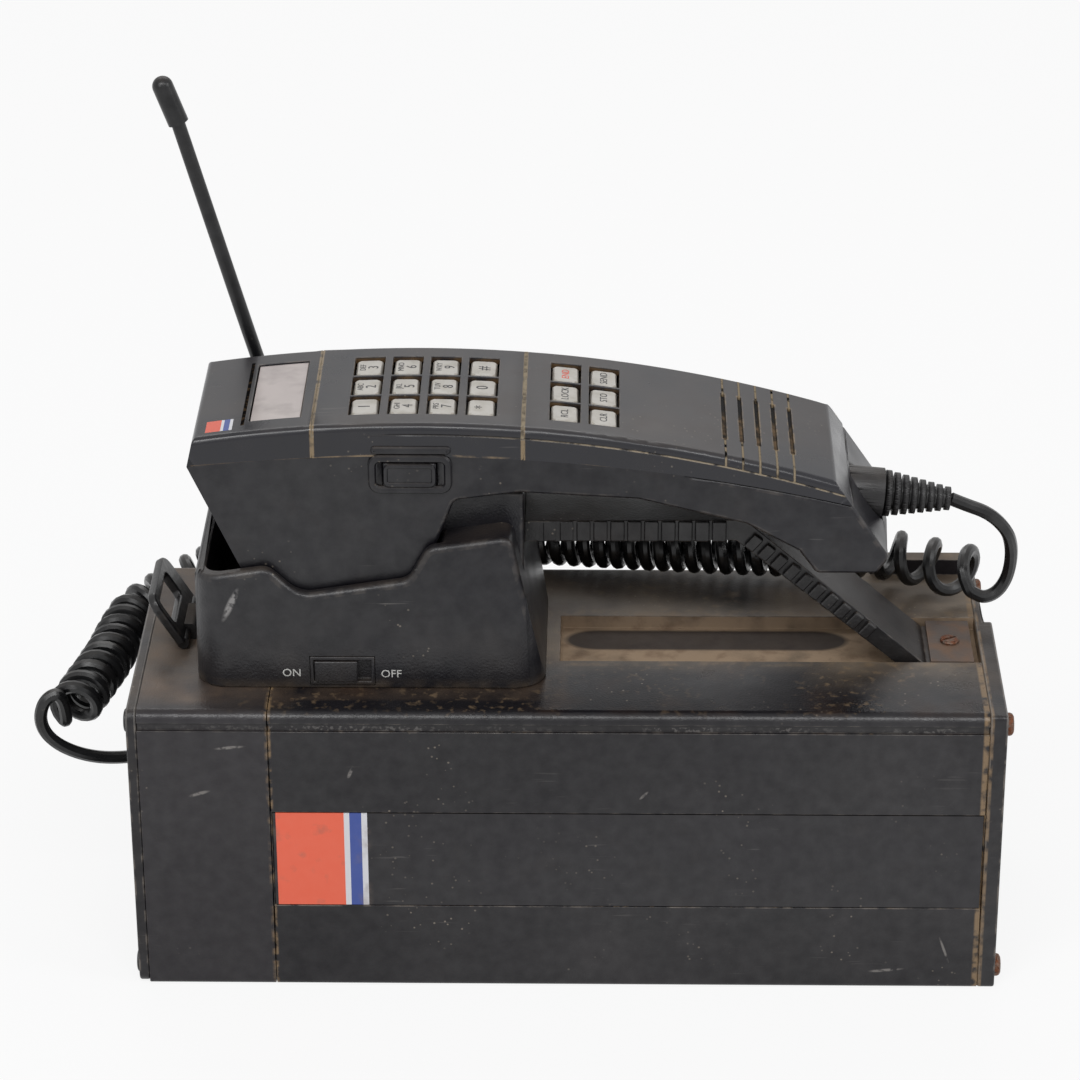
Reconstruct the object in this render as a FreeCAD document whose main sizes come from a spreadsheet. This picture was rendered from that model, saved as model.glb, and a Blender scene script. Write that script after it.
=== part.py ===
"""Transportable cellular telephone: a metal-cased transceiver with a handset in a top cradle.

Frame: the origin is the centre of the casing's underside, X runs along the casing towards
the handset's cord end, Y runs towards the rear and Z is up. Millimetres throughout.
"""
import FreeCAD
import Part
import math
import os
import re
import Sketcher

V = FreeCAD.Vector
X_AXIS = V(1, 0, 0)
Y_AXIS = V(0, 1, 0)
Z_AXIS = V(0, 0, 1)

doc = FreeCAD.newDocument("transportable_telephone")
sheet = doc.addObject("Spreadsheet::Sheet", "sizes")

# ---------------------------------------------------------------- driving dimensions
SIZES = [
    # casing
    ("casing_length", 248), ("casing_depth", 92), ("casing_height", 90), ("casing_wall", 2.5),
    ("left_cap", 3), ("left_housing_length", 37), ("right_cap", 2.4), ("right_plate", 2.6),
    ("right_plate_depth", 58), ("edge_bead", 3.4), ("bottom_edge", 1.5), ("seam_gap", 0.2),
    ("groove_height", 2.4), ("groove_depth", 0.8), ("post_side", 10), ("cap_screw_inset", 5),
    ("cap_screw_head", 6.6), ("cap_screw_head_height", 2), ("screw_shank", 3),
    ("cap_screw_length", 14), ("screw_clearance", 0.05), ("label_bottom", 27),
    ("label_height", 31), ("label_recess", 0.6), ("label_thickness", 0.5), ("label_gap", 0.3),
    ("rail_length", 29), ("rail_depth", 5), ("rail_height", 5),
    # recess in the top that holds the handle's foot
    ("trough_inset", 3.9), ("trough_side_gap", 0.3), ("trough_depth", 4), ("trough_wall", 2),
    # cradle
    ("cradle_inset", 18.7), ("cradle_length", 99.4), ("cradle_side_gap", 0.3),
    ("cradle_wall", 3.7), ("cradle_corner", 9), ("cradle_floor", 10), ("rim_left", 34.6),
    ("rim_draft", 0.6), ("lobe_at", 21.5), ("lobe_height", 37.8), ("notch_run", 8.7),
    ("notch_height", 29.3), ("notch_end", 60.9), ("notch_end_height", 34.2),
    ("shoulder_run", 5.5), ("shoulder_height", 44.4), ("rim_right_inset", 9.3),
    ("rim_right_height", 47.9), ("saddle_width", 40), ("saddle_end_inset", 6.1),
    ("saddle_length", 16.9), ("cradle_screw_pitch_x", 46), ("cradle_screw_pitch_y", 46),
    ("cradle_screw_from_end", 68), ("cradle_screw_length", 9),
    # selector switch on the cradle's front
    ("switch_at", 41.9), ("switch_length", 18.6), ("switch_height", 9.2), ("switch_rise", 1.2),
    ("switch_recess", 2.4), ("switch_lip", 1.1), ("slider_length", 12.2), ("slider_height", 6.4),
    ("slider_proud", 1.1), ("slider_gap", 0.15), ("slider_edge", 0.4), ("frame_proud", 0.4),
    ("frame_back", 0.8),
    # carrying handle
    ("handle_width", 27), ("handle_thickness", 6.5), ("handle_top", 44.5),
    ("bend_before_mouth", 22), ("handle_foot", 31), ("tongue_length", 8), ("tongue_width", 21),
    ("tongue_thickness", 4), ("tongue_gap", 0.15), ("handle_tab", 2), ("anchor_length", 12.4),
    ("anchor_margin", 2), ("anchor_inset", 1), ("anchor_thickness", 1.5),
    ("handle_screw_head", 5.6), ("handle_screw_length", 8),
    # strap loop
    ("loop_inset", 5.7), ("loop_bar", 3.5), ("loop_height", 2.3), ("loop_front", -8.4),
    ("loop_width", 26), ("loop_reach", 17.5), ("loop_angle", 59), ("loop_hinge_gap", 0.06),
    ("bracket_length", 13), ("bracket_width", 6.4), ("bracket_wall", 1), ("bracket_edge", 1.5),
    # antenna
    ("antenna_at", 31.4), ("antenna_clear", 1.9), ("antenna_pivot", 14), ("socket_radius", 5.3),
    ("socket_height", 7), ("fork_wall", 2), ("knuckle_width", 4.6), ("knuckle_radius", 3.6),
    ("pin_radius", 1.2), ("pin_gap", 0.04), ("knuckle_gap", 0.1), ("whip_radius", 2),
    ("tip_radius", 3), ("tip_length", 14.5), ("socket_plug", 6),
    # handset: lengths from the cradle's left end, heights from its saddle
    ("handset_overhang", 0.1), ("end_lean", 1.9), ("handset_width", 54), ("handset_wall", 2),
    ("top_crest", 63.3),
    ("top_radius", 400), ("top_rounding", 2.2), ("saddle_above_handle", 12.3), ("saddle_drop", 3),
    ("grip_thickness", 20.9), ("grip_left", 74.1), ("grip_run", 18.2), ("grip_dip", 2.5),
    ("nose_end", 195.8), ("nose_lean", 15.8), ("nose_rise", 5), ("nose_undercut", 3.5),
    ("mouth_depth", 45.7), ("mouth_length", 20.5), ("chin_run", 5), ("chin_rise", 7),
    ("neck_run", 20), ("neck_rise", 15.4), ("throat_run", 50), ("throat_rise", 22.9),
    ("seam_left_drop", 13.1), ("seam_middle_drop", 10.7), ("seam_middle_at", 95),
    ("seam_right_drop", 27.2), ("bulge_left", 22), ("bulge_right", 59.3), ("bulge_rise", 18),
    ("bulge_edge", 2.5), ("cavity_gap", 1.2), ("panel_seam_display", 37.3),
    ("panel_seam_grille", 93.3), ("panel_gap", 0.3), ("display_margin", 5.9),
    ("display_length", 14.5), ("display_width", 38), ("lens_thickness", 1.4), ("lens_sink", 0.5),
    ("lens_gap", 0.2), ("module_thickness", 3.5), ("module_margin", 1), ("slot_count", 5),
    ("slot_first", 149.45), ("slot_pitch", 4.77), ("slot_width", 1.1), ("slot_length", 30),
    # keys
    ("key_length", 8), ("key_width", 11.7), ("key_proud", -0.5), ("key_depth", 3.4),
    ("key_gap", 0.3), ("key_edge", 0.6), ("key_row_pitch", 13.2), ("number_column_first", 48.9),
    ("key_column_pitch", 10.87), ("function_column_first", 104.8), ("mat_before", 4.4),
    ("mat_beyond", 6.43), ("mat_drop", 5), ("mat_edge", 1), ("mat_width", 42),
    ("board_thickness", 1.6), ("board_side_gap", 0.3), ("side_key_at", 61.8),
    ("side_key_length", 14.85), ("side_key_height", 7.4), ("side_key_drop", 15.25),
    ("side_key_proud", 1.2), ("side_key_depth", 5), ("side_key_frame", 1.6),
    ("side_key_recess", 0.8),
    # what the handset holds
    ("earpiece_radius", 13), ("earpiece_height", 8), ("rest_gap", 0.3), ("microphone_radius", 5),
    ("microphone_height", 3.6), ("microphone_inset", 13), ("magnet_side", 9), ("magnet_gap", 1.5),
    ("seat_gap", 0.2), ("handset_screw_radius", 1.4), ("handset_screw_head", 2.6),
    ("handset_screw_inset", 40), ("handset_screw_side", 17), ("handset_screw_rise", 22.2),
    ("handset_screw_length", 10), ("handset_head_height", 1.3), ("handset_post_radius", 3.2),
    ("handset_boss_height", 2.6),
    # strain relief
    ("relief_inset", 11.2), ("relief_rise", 13.34), ("relief_tilt", 5.4), ("relief_collar", 7.1),
    ("relief_collar_length", 10.5), ("relief_ribs", 8), ("relief_pitch", 2.45),
    ("relief_rib_width", 1.5), ("relief_rib_first", 6.6), ("relief_rib_last", 3.4),
    ("relief_core_first", 5), ("relief_core_last", 2.6), ("relief_gap", 0.1),
    ("relief_step", 0.6), ("wall_margin", 5), ("screw_end_gap", 1),
    # cord
    ("wire_radius", 1.9), ("coil_radius", 7.5), ("gland_height", 50), ("gland_radius", 4.2),
    ("gland_length", 2), ("gland_neck", 3.2), ("gland_neck_length", 6), ("cord_end_gap", 0.3),
    ("cord_first_run", 8),
    # inside the casing
    ("cell_radius", 16.5), ("cell_headroom", 0.1), ("cell_gap", 0.3), ("cell_button_radius", 5),
    ("cell_button_height", 1.5), ("tray_wall", 1.5), ("tray_inset", 6), ("tray_height", 34),
    ("tray_standoff", 0.2), ("board_inset", 1), ("radio_board_drop", 22),
    ("radio_board_margin", 6.5), ("shield_height", 9), ("shield_inset", 3), ("shield_length", 62),
    ("shield_width", 60), ("shield_wall", 0.8), ("power_board_inset", 13), ("power_board_gap", 1),
    ("radio_board_end_gap", 2), ("rib_thickness", 2),
]
for row, (alias, value) in enumerate(SIZES, start=1):
    sheet.set("A%d" % row, alias)
    sheet.set("B%d" % row, str(value))
    sheet.setAlias("B%d" % row, alias)
doc.recompute()


def cells(text):
    """The expression with each size name read from the sheet."""
    return re.sub(r"[a-z][a-z_0-9]*", lambda found: "sizes." + found.group(), text)


def size(text):
    """The present value of a size or of an expression of sizes, in millimetres."""
    return float(ruler.evalExpression(cells(text)))


def bind(item, **expressions):
    """Bind an object's properties to expressions of the sheet's sizes."""
    for name, text in expressions.items():
        item.setExpression(name, cells(text))


ruler = doc.addObject("App::FeaturePython", "ruler")
sub_parts = []


def keep(item, label):
    """Name a finished sub-part; its file is written at the end."""
    item.Label = label
    sub_parts.append(item)
    return item


# ---------------------------------------------------------------- building blocks
def place(item, x, y, z):
    item.setExpression("Placement.Base.x", cells(x))
    item.setExpression("Placement.Base.y", cells(y))
    item.setExpression("Placement.Base.z", cells(z))


def box(name, corner, extent):
    """A box from its lowest corner and its three edge lengths, all as expressions."""
    item = doc.addObject("Part::Box", name)
    bind(item, Length=extent[0], Width=extent[1], Height=extent[2])
    place(item, *corner)
    return item


def rod(name, start, radius, length, axis=Z_AXIS):
    """A cylinder from the centre of its first face, along an axis."""
    item = doc.addObject("Part::Cylinder", name)
    bind(item, Radius=radius, Height=length)
    item.Placement.Rotation = FreeCAD.Rotation(Z_AXIS, axis)
    place(item, *start)
    return item


def fuse(name, pieces):
    item = doc.addObject("Part::MultiFuse", name)
    item.Shapes = pieces
    item.Refine = True
    return item


def cut(name, base, tools):
    """Take one or more tools out of a base."""
    item = doc.addObject("Part::Cut", name)
    item.Base = base
    item.Tool = tools[0] if len(tools) == 1 else fuse(name + "_tools", tools)
    item.Refine = True
    return item


def group(name, pieces):
    """Separate solids that share one node."""
    item = doc.addObject("Part::Compound", name)
    item.Links = pieces
    return item


def round_edges(name, base, radius, chosen, chamfer=False):
    """Round or chamfer the edges of a base that a test of the edge chooses."""
    doc.recompute()
    kind = "Part::Chamfer" if chamfer else "Part::Fillet"
    item = doc.addObject(kind, name)
    item.Base = base
    amount = size(radius)
    item.Edges = [
        (index, amount, amount)
        for index, edge in enumerate(base.Shape.Edges, start=1)
        if chosen(edge)
    ]
    return item


def runs_along(edge, axis):
    """Whether an edge is a straight line parallel to an axis."""
    if edge.Curve.TypeId != "Part::GeomLine":
        return False
    return abs(abs(edge.Curve.Direction.dot(axis)) - 1) < 1e-6


def near(value, text):
    return abs(value - size(text)) < 1e-3


def feature(name, shape):
    item = doc.addObject("Part::Feature", name)
    item.Shape = shape
    return item


def outline_body(name, role, corners, depth):
    """A body padded both ways from an origin plane, its outline's corners bound to the sheet."""
    body = doc.addObject("PartDesign::Body", name)
    plane = [item for item in body.Origin.OriginFeatures if item.Role == role][0]
    sketch = body.newObject("Sketcher::SketchObject", name + "_outline")
    sketch.AttachmentSupport = [(plane, "")]
    sketch.MapMode = "FlatFace"
    spots = [V(size(across), size(up), 0) for across, up in corners]
    count = len(spots)
    for index, spot in enumerate(spots):
        sketch.addGeometry(Part.LineSegment(spot, spots[(index + 1) % count]))
    for index in range(count):
        sketch.addConstraint(Sketcher.Constraint("Coincident", index, 2, (index + 1) % count, 1))
    for index, (across, up) in enumerate(corners):
        for kind, text in (("DistanceX", across), ("DistanceY", up)):
            number = sketch.addConstraint(Sketcher.Constraint(kind, -1, 1, index, 1, size(text)))
            sketch.setExpression("Constraints[%d]" % number, cells(text))
    pad = body.newObject("PartDesign::Pad", name + "_pad")
    pad.Profile = sketch
    pad.Midplane = True
    bind(pad, Length=depth)
    return body


# ---------------------------------------------------------------- places worked out once
LEFT_END = "-casing_length / 2"
LEFT_FACE = "(-casing_length / 2 + left_cap)"
SEAM = "(-casing_length / 2 + left_cap + left_housing_length)"
RIGHT_FACE = "(casing_length / 2 - right_plate - right_cap)"
HALF_DEPTH = "casing_depth / 2"
CRADLE_LEFT = "(-casing_length / 2 + cradle_inset)"
CRADLE_RIGHT = "(-casing_length / 2 + cradle_inset + cradle_length)"
CRADLE_WIDTH = "(handset_width + 2 * cradle_side_gap + 2 * cradle_wall)"
TROUGH_START = "(%s + trough_inset)" % CRADLE_RIGHT
TROUGH_HALF_WIDTH = "(handle_width / 2 + trough_side_gap)"
TROUGH_FLOOR = "(casing_height - trough_depth)"
ANCHOR_END = "(%s - anchor_margin)" % RIGHT_FACE
ANCHOR_START = "(%s - anchor_length)" % ANCHOR_END
HANDLE_SCREW_X = "(%s - anchor_length / 2)" % ANCHOR_END
HANDLE_START = "(%s - saddle_end_inset)" % CRADLE_RIGHT
TRAY_START = "(%s + tray_inset)" % SEAM
POWER_BOARD_X = "(%s - power_board_inset)" % RIGHT_FACE
RADIO_BOARD_Z = "(casing_height - radio_board_drop)"
RADIO_BOARD_WIDTH = "(casing_depth - 2 * casing_wall - 2 * radio_board_margin)"
RADIO_BOARD_LENGTH = "(%s - %s - board_inset - radio_board_end_gap)" % (POWER_BOARD_X, TRAY_START)
BOARD_RIB_WIDTH = "(casing_wall / 2 + radio_board_margin + rib_thickness)"
ANTENNA_X = "(%s + antenna_at)" % CRADLE_LEFT
ANTENNA_Y = "(%s / 2 + socket_radius + antenna_clear)" % CRADLE_WIDTH
LOOP_X = "(%s - loop_inset)" % CRADLE_LEFT

# the handset's heights above the casing's top, where the cradle stands
SADDLE_RISE = "(handle_top + saddle_above_handle)"
GRIP = "(%s + saddle_drop)" % SADDLE_RISE
TOP = "(%s + grip_thickness)" % GRIP
MOUTH = "(%s - mouth_depth)" % TOP
# and its lengths from the cradle's left end
MOUTH_START = "(nose_end - mouth_length)"
DISPLAY_END = "(panel_seam_display - display_margin)"
DISPLAY_START = "(%s - display_length)" % DISPLAY_END
EARPIECE_AT = "((bulge_left + bulge_right) / 2)"


# ---------------------------------------------------------------- casing shells
def corner_posts(name, start, length):
    """Four square posts along X that take the end caps' screws."""
    posts = []
    across = ("(-" + HALF_DEPTH + " + casing_wall / 2)", "(" + HALF_DEPTH + " - post_side)")
    levels = ("casing_wall / 2", "(casing_height - post_side)")
    for y in across:
        for z in levels:
            extent = (length, "(post_side - casing_wall / 2)", "(post_side - casing_wall / 2)")
            posts.append(box(name + "_post", (start, y, z), extent))
    return posts


def screw_places():
    """Centres of the four screws of an end cap, as Y and Z expressions."""
    inset = "cap_screw_inset"
    for y in ("(-%s + %s)" % (HALF_DEPTH, inset), "(%s - %s)" % (HALF_DEPTH, inset)):
        for z in (inset, "(casing_height - %s)" % inset):
            yield y, z


def housing_shell(name, start, length, post_start):
    """A rectangular tube with a rounded front edge, a groove below it and corner posts."""
    outer = box(name + "_outer", (start, "-" + HALF_DEPTH, "0"),
                (length, "casing_depth", "casing_height"))
    rounded = round_edges(
        name + "_bead", outer, "edge_bead",
        lambda edge: runs_along(edge, X_AXIS) and near(edge.BoundBox.ZMin, "casing_height"))
    softened = round_edges(
        name + "_underside", rounded, "bottom_edge",
        lambda edge: runs_along(edge, X_AXIS) and near(edge.BoundBox.ZMax, "0"))
    inner = box(name + "_inner", (start, "(-%s + casing_wall)" % HALF_DEPTH, "casing_wall"),
                (length, "(casing_depth - 2 * casing_wall)", "(casing_height - 2 * casing_wall)"))
    groove = box(name + "_groove",
                 (start, "-" + HALF_DEPTH, "(casing_height - edge_bead - groove_height)"),
                 (length, "groove_depth", "groove_height"))
    shell = cut(name + "_tube", softened, [inner, groove])
    posts = corner_posts(name, post_start, "cap_screw_length")
    body = fuse(name + "_with_posts", [shell] + posts)
    bores = [
        rod(name + "_bore", (post_start, y, z), "(screw_shank / 2 + screw_clearance)",
            "cap_screw_length", X_AXIS)
        for y, z in screw_places()
    ]
    return body, bores


def make_casing():
    body, bores = housing_shell("left_section", LEFT_FACE, "(left_housing_length - seam_gap)",
                                LEFT_FACE)
    keep(cut("left_housing_shell", body, bores), "left_housing")

    post_start = "(%s - cap_screw_length)" % RIGHT_FACE
    body, bores = housing_shell("main_section", SEAM, "(%s - %s)" % (RIGHT_FACE, SEAM), post_start)
    tub = box("trough_tub",
              ("(%s - trough_wall)" % TROUGH_START, "(-%s - trough_wall)" % TROUGH_HALF_WIDTH,
               "(%s - casing_wall)" % TROUGH_FLOOR),
              ("(%s - %s + trough_wall)" % (RIGHT_FACE, TROUGH_START),
               "(2 * (%s + trough_wall))" % TROUGH_HALF_WIDTH,
                "(trough_depth + casing_wall / 2)"))
    rail = box("rear_rail",
               ("(%s - rail_length)" % RIGHT_FACE, "(%s - rail_depth)" % HALF_DEPTH,
                "(casing_height - edge_bead)"),
               ("rail_length", "rail_depth", "(rail_height + edge_bead)"))
    trough = box("trough_recess", (TROUGH_START, "-" + TROUGH_HALF_WIDTH, TROUGH_FLOOR),
                 ("(%s - %s)" % (RIGHT_FACE, TROUGH_START), "(2 * %s)" % TROUGH_HALF_WIDTH,
                  "(trough_depth + rail_height)"))
    label_bed = box("label_bed",
                    ("(%s + label_gap)" % SEAM, "-" + HALF_DEPTH, "label_bottom"),
                    ("(%s - %s - 2 * label_gap)" % (RIGHT_FACE, SEAM), "label_recess",
                     "label_height"))
    screw_holes = [
        rod("cradle_screw_hole", (x, y, "(casing_height - casing_wall)"),
            "(screw_shank / 2 + screw_clearance)", "casing_wall")
        for x, y in cradle_screw_places()
    ]
    handle_hole = rod("handle_screw_hole",
                      (HANDLE_SCREW_X, "0", "(%s - casing_wall)" % TROUGH_FLOOR),
                      "(screw_shank / 2 + screw_clearance)", "casing_wall")
    socket_hole = rod("socket_hole", (ANTENNA_X, ANTENNA_Y, "(casing_height - socket_plug)"),
                      "(socket_radius - fork_wall + pin_gap)", "socket_plug")
    ribs = [
        box("board_rib", ("(%s + board_inset)" % TRAY_START, y,
                          "(%s - rib_thickness)" % RADIO_BOARD_Z),
            (RADIO_BOARD_LENGTH, BOARD_RIB_WIDTH, "rib_thickness"))
        for y in ("(-%s + casing_wall / 2)" % HALF_DEPTH,
                  "(%s - casing_wall / 2 - %s)" % (HALF_DEPTH, BOARD_RIB_WIDTH))
    ]
    joined = fuse("main_section_top", [body, tub, rail] + ribs)
    tools = bores + [trough, label_bed, handle_hole, socket_hole] + screw_holes
    keep(cut("main_housing_shell", joined, tools), "main_housing")

    strip_gap = "(2 * label_gap)"
    keep(box("label_strip",
             ("(%s + %s)" % (SEAM, strip_gap), "(-%s + label_recess - label_thickness)"
              % HALF_DEPTH, "(label_bottom + label_gap)"),
             ("(%s - %s - 2 * %s)" % (RIGHT_FACE, SEAM, strip_gap), "label_thickness",
              "(label_height - 2 * label_gap)")), "front_label")


def end_plate(name, start, thickness, edge):
    """A flat cap plate with rounded corners."""
    plate = box(name + "_plate", (start, "-" + HALF_DEPTH, "0"),
                (thickness, "casing_depth", "casing_height"))
    return round_edges(name + "_corners", plate, edge, lambda line: runs_along(line, X_AXIS))


def make_end_caps():
    plate = end_plate("left_cap", LEFT_END, "left_cap", "edge_bead")
    holes = [
        rod("left_cap_hole", (LEFT_END, y, z), "(screw_shank / 2 + screw_clearance)",
            "left_cap", X_AXIS)
        for y, z in screw_places()
    ]
    gland_hole = rod("gland_hole", (LEFT_END, "0", "gland_height"), "(gland_neck + pin_gap)",
                     "left_cap", X_AXIS)
    keep(cut("left_cap_drilled", plate, holes + [gland_hole]), "left_end_cap")

    thin = end_plate("right_cap", RIGHT_FACE, "right_cap", "bottom_edge")
    raised = box("right_raised_plate",
                 ("(%s + right_cap / 2)" % RIGHT_FACE, "-" + HALF_DEPTH, "0"),
                 ("(right_plate + right_cap / 2)", "right_plate_depth", "casing_height"))
    rounded = round_edges("right_raised_corners", raised, "bottom_edge",
                          lambda line: runs_along(line, X_AXIS))
    joined = fuse("right_cap_joined", [thin, rounded])
    holes = [
        rod("right_cap_hole", (RIGHT_FACE, y, z), "(screw_shank / 2 + screw_clearance)",
            "(right_cap + right_plate)", X_AXIS)
        for y, z in screw_places()
    ]
    keep(cut("right_cap_drilled", joined, holes), "right_end_cap")


def screw(name, seat, head_radius, head_height, shank_radius, length, outward):
    """A pan-head screw whose head stands outward of its seat, with the shank inward."""
    head = rod(name + "_head", seat, head_radius, head_height, outward)
    shank = rod(name + "_shank", seat, shank_radius, length, outward * -1)
    return fuse(name, [head, shank])


def make_screws():
    screws = []
    for index, (y, z) in enumerate(screw_places()):
        front = index < 2
        right_seat = "casing_length / 2" if front else "(%s + right_cap)" % RIGHT_FACE
        for side, seat, outward in (("left", LEFT_END, X_AXIS * -1),
                                    ("right", right_seat, X_AXIS)):
            screws.append(screw("%s_cap_screw" % side, (seat, y, z), "cap_screw_head / 2",
                                "cap_screw_head_height", "screw_shank / 2",
                                "(cap_screw_length - right_plate)", outward))
    keep(group("cap_screw_group", screws), "end_cap_screws")

    under = [
        screw("cradle_screw", (x, y, "(casing_height - casing_wall)"), "cap_screw_head / 2",
              "cap_screw_head_height", "screw_shank / 2", "cradle_screw_length", Z_AXIS * -1)
        for x, y in cradle_screw_places()
    ]
    anchor = screw("handle_screw", (HANDLE_SCREW_X, "0",
                                    "(%s + handle_tab + anchor_thickness)" % TROUGH_FLOOR),
                   "handle_screw_head / 2", "cap_screw_head_height / 2", "screw_shank / 2",
                   "handle_screw_length", Z_AXIS)
    keep(group("top_screw_group", under + [anchor]), "cradle_and_handle_screws")


def cradle_screw_places():
    """The four screws from inside the casing up into the cradle's floor."""
    first = "(%s - cradle_screw_from_end)" % CRADLE_RIGHT
    for x in (first, "(%s + cradle_screw_pitch_x)" % first):
        for y in ("-cradle_screw_pitch_y / 2", "cradle_screw_pitch_y / 2"):
            yield x, y


# ---------------------------------------------------------------- cradle and switch
def rim(offset, height):
    """A point of the cradle's rim, from its left end and from the casing's top."""
    return "(%s + %s)" % (CRADLE_LEFT, offset), "(casing_height + %s)" % height


SADDLE_TOP = "(casing_height + %s)" % SADDLE_RISE
CRADLE_FRONT = "(-%s / 2)" % CRADLE_WIDTH
SWITCH_X = "(%s + switch_at)" % CRADLE_LEFT


def cavity_side(rise):
    """The cavity's right wall follows the handset's bulge, a gap away from it."""
    slope = "(grip_left - bulge_right) / (%s - grip_dip - bulge_rise)" % GRIP
    return "(%s + bulge_right + cavity_gap + (%s - bulge_rise) * %s)" % (CRADLE_LEFT, rise, slope)


def make_cradle():
    front = outline_body("cradle_front_view", "XZ_Plane", [
        (CRADLE_LEFT, "casing_height"),
        (CRADLE_RIGHT, "casing_height"),
        rim("(cradle_length - rim_right_inset)", "rim_right_height"),
        rim("(notch_end + shoulder_run)", "shoulder_height"),
        rim("notch_end", "notch_end_height"),
        rim("(lobe_at + notch_run)", "notch_height"),
        rim("lobe_at", "lobe_height"),
        rim("rim_draft", "rim_left"),
    ], CRADLE_WIDTH)
    plan = box("cradle_plan", (CRADLE_LEFT, "-%s / 2" % CRADLE_WIDTH, "casing_height"),
               ("cradle_length", CRADLE_WIDTH, "(2 * rim_right_height)"))
    rounded = round_edges("cradle_corners", plan, "cradle_corner",
                          lambda edge: runs_along(edge, Z_AXIS))
    outside = doc.addObject("Part::Common", "cradle_outside")
    outside.Base = front
    outside.Tool = rounded

    saddle_left = "(%s - saddle_length - 2 * cradle_wall)" % HANDLE_START
    saddle = box("cradle_saddle",
                 (saddle_left, "-saddle_width / 2", "(casing_height + cradle_floor)"),
                 ("(saddle_length + 2 * cradle_wall)", "saddle_width",
                  "(%s - casing_height - cradle_floor)" % SADDLE_TOP))
    joined = fuse("cradle_with_saddle", [outside, saddle])

    floor = "(casing_height + cradle_floor)"
    high = "(casing_height + %s)" % TOP
    cavity = outline_body("cradle_cavity", "XZ_Plane", [
        ("(%s + cradle_wall)" % CRADLE_LEFT, floor),
        (cavity_side("cradle_floor"), floor),
        (cavity_side(GRIP), "(casing_height + %s)" % GRIP),
        (cavity_side(GRIP), high),
        ("(%s + cradle_wall)" % CRADLE_LEFT, high),
    ], "(%s - 2 * cradle_wall)" % CRADLE_WIDTH)
    under = box("cradle_underside",
                ("(%s + cradle_wall)" % saddle_left, "(-saddle_width / 2 + cradle_wall)",
                 "casing_height"),
                ("saddle_length", "(saddle_width - 2 * cradle_wall)",
                 "(handle_top - handle_thickness - cradle_wall)"))
    switch_bed = box("switch_bed",
                     ("(%s - switch_length / 2)" % SWITCH_X, CRADLE_FRONT,
                      "(casing_height + switch_rise)"),
                     ("switch_length", "switch_recess", "switch_height"))
    tongue_slot = box("tongue_slot",
                      ("(%s - tongue_length)" % HANDLE_START,
                       "(-tongue_width / 2 - tongue_gap)",
                       "(%s - tongue_gap)" % TONGUE_BOTTOM),
                      ("tongue_length", "(tongue_width + 2 * tongue_gap)",
                       "(tongue_thickness + 2 * tongue_gap)"))
    screw_holes = [
        rod("cradle_bore", (x, y, "casing_height"), "(screw_shank / 2 + screw_clearance)",
            "(cradle_screw_length - casing_wall)")
        for x, y in cradle_screw_places()
    ]
    shaped = cut("cradle_cut", joined,
                 [cavity, under, switch_bed, tongue_slot] + screw_holes)
    rest = rod("handset_rest",
               ("(%s + %s)" % (CRADLE_LEFT, EARPIECE_AT), "0", "(%s - cradle_wall)" % floor),
               "earpiece_radius", "(bulge_rise - cradle_floor - rest_gap + cradle_wall)")
    keep(fuse("cradle_moulding", [shaped, rest]), "cradle")


def make_switch():
    """A frame pressed into the cradle's front, with a slider that runs along X in it."""
    start = "(%s - switch_length / 2 + slider_gap)" % SWITCH_X
    base = "(casing_height + switch_rise + slider_gap)"
    front = "(%s - frame_proud)" % CRADLE_FRONT
    outer = box("switch_outer", (start, front, base),
                ("(switch_length - 2 * slider_gap)", "(switch_recess + frame_proud)",
                 "(switch_height - 2 * slider_gap)"))
    window = box("switch_window",
                 ("(%s + switch_lip)" % start, front, "(%s + switch_lip)" % base),
                 ("(switch_length - 2 * slider_gap - 2 * switch_lip)",
                  "(switch_recess + frame_proud - frame_back)",
                  "(switch_height - 2 * slider_gap - 2 * switch_lip)"))
    keep(cut("switch_surround", outer, [window]), "switch_frame")

    middle = "(%s + (switch_height - 2 * slider_gap) / 2)" % base
    slider_front = "(%s - slider_proud)" % CRADLE_FRONT
    slider = box("slider_block",
                 ("(%s + switch_lip + slider_gap)" % start, slider_front,
                  "(%s - slider_height / 2)" % middle),
                 ("slider_length", "(switch_recess + slider_proud - frame_back - slider_gap)",
                  "slider_height"))
    keep(round_edges("slider_soft", slider, "slider_edge",
                     lambda edge: near(edge.BoundBox.YMax, slider_front)),
         "switch_slider")


# ---------------------------------------------------------------- carrying handle
HANDLE_TOP = "(casing_height + handle_top)"
TONGUE_BOTTOM = "(%s - handle_thickness / 2 - tongue_thickness / 2)" % HANDLE_TOP


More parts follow.
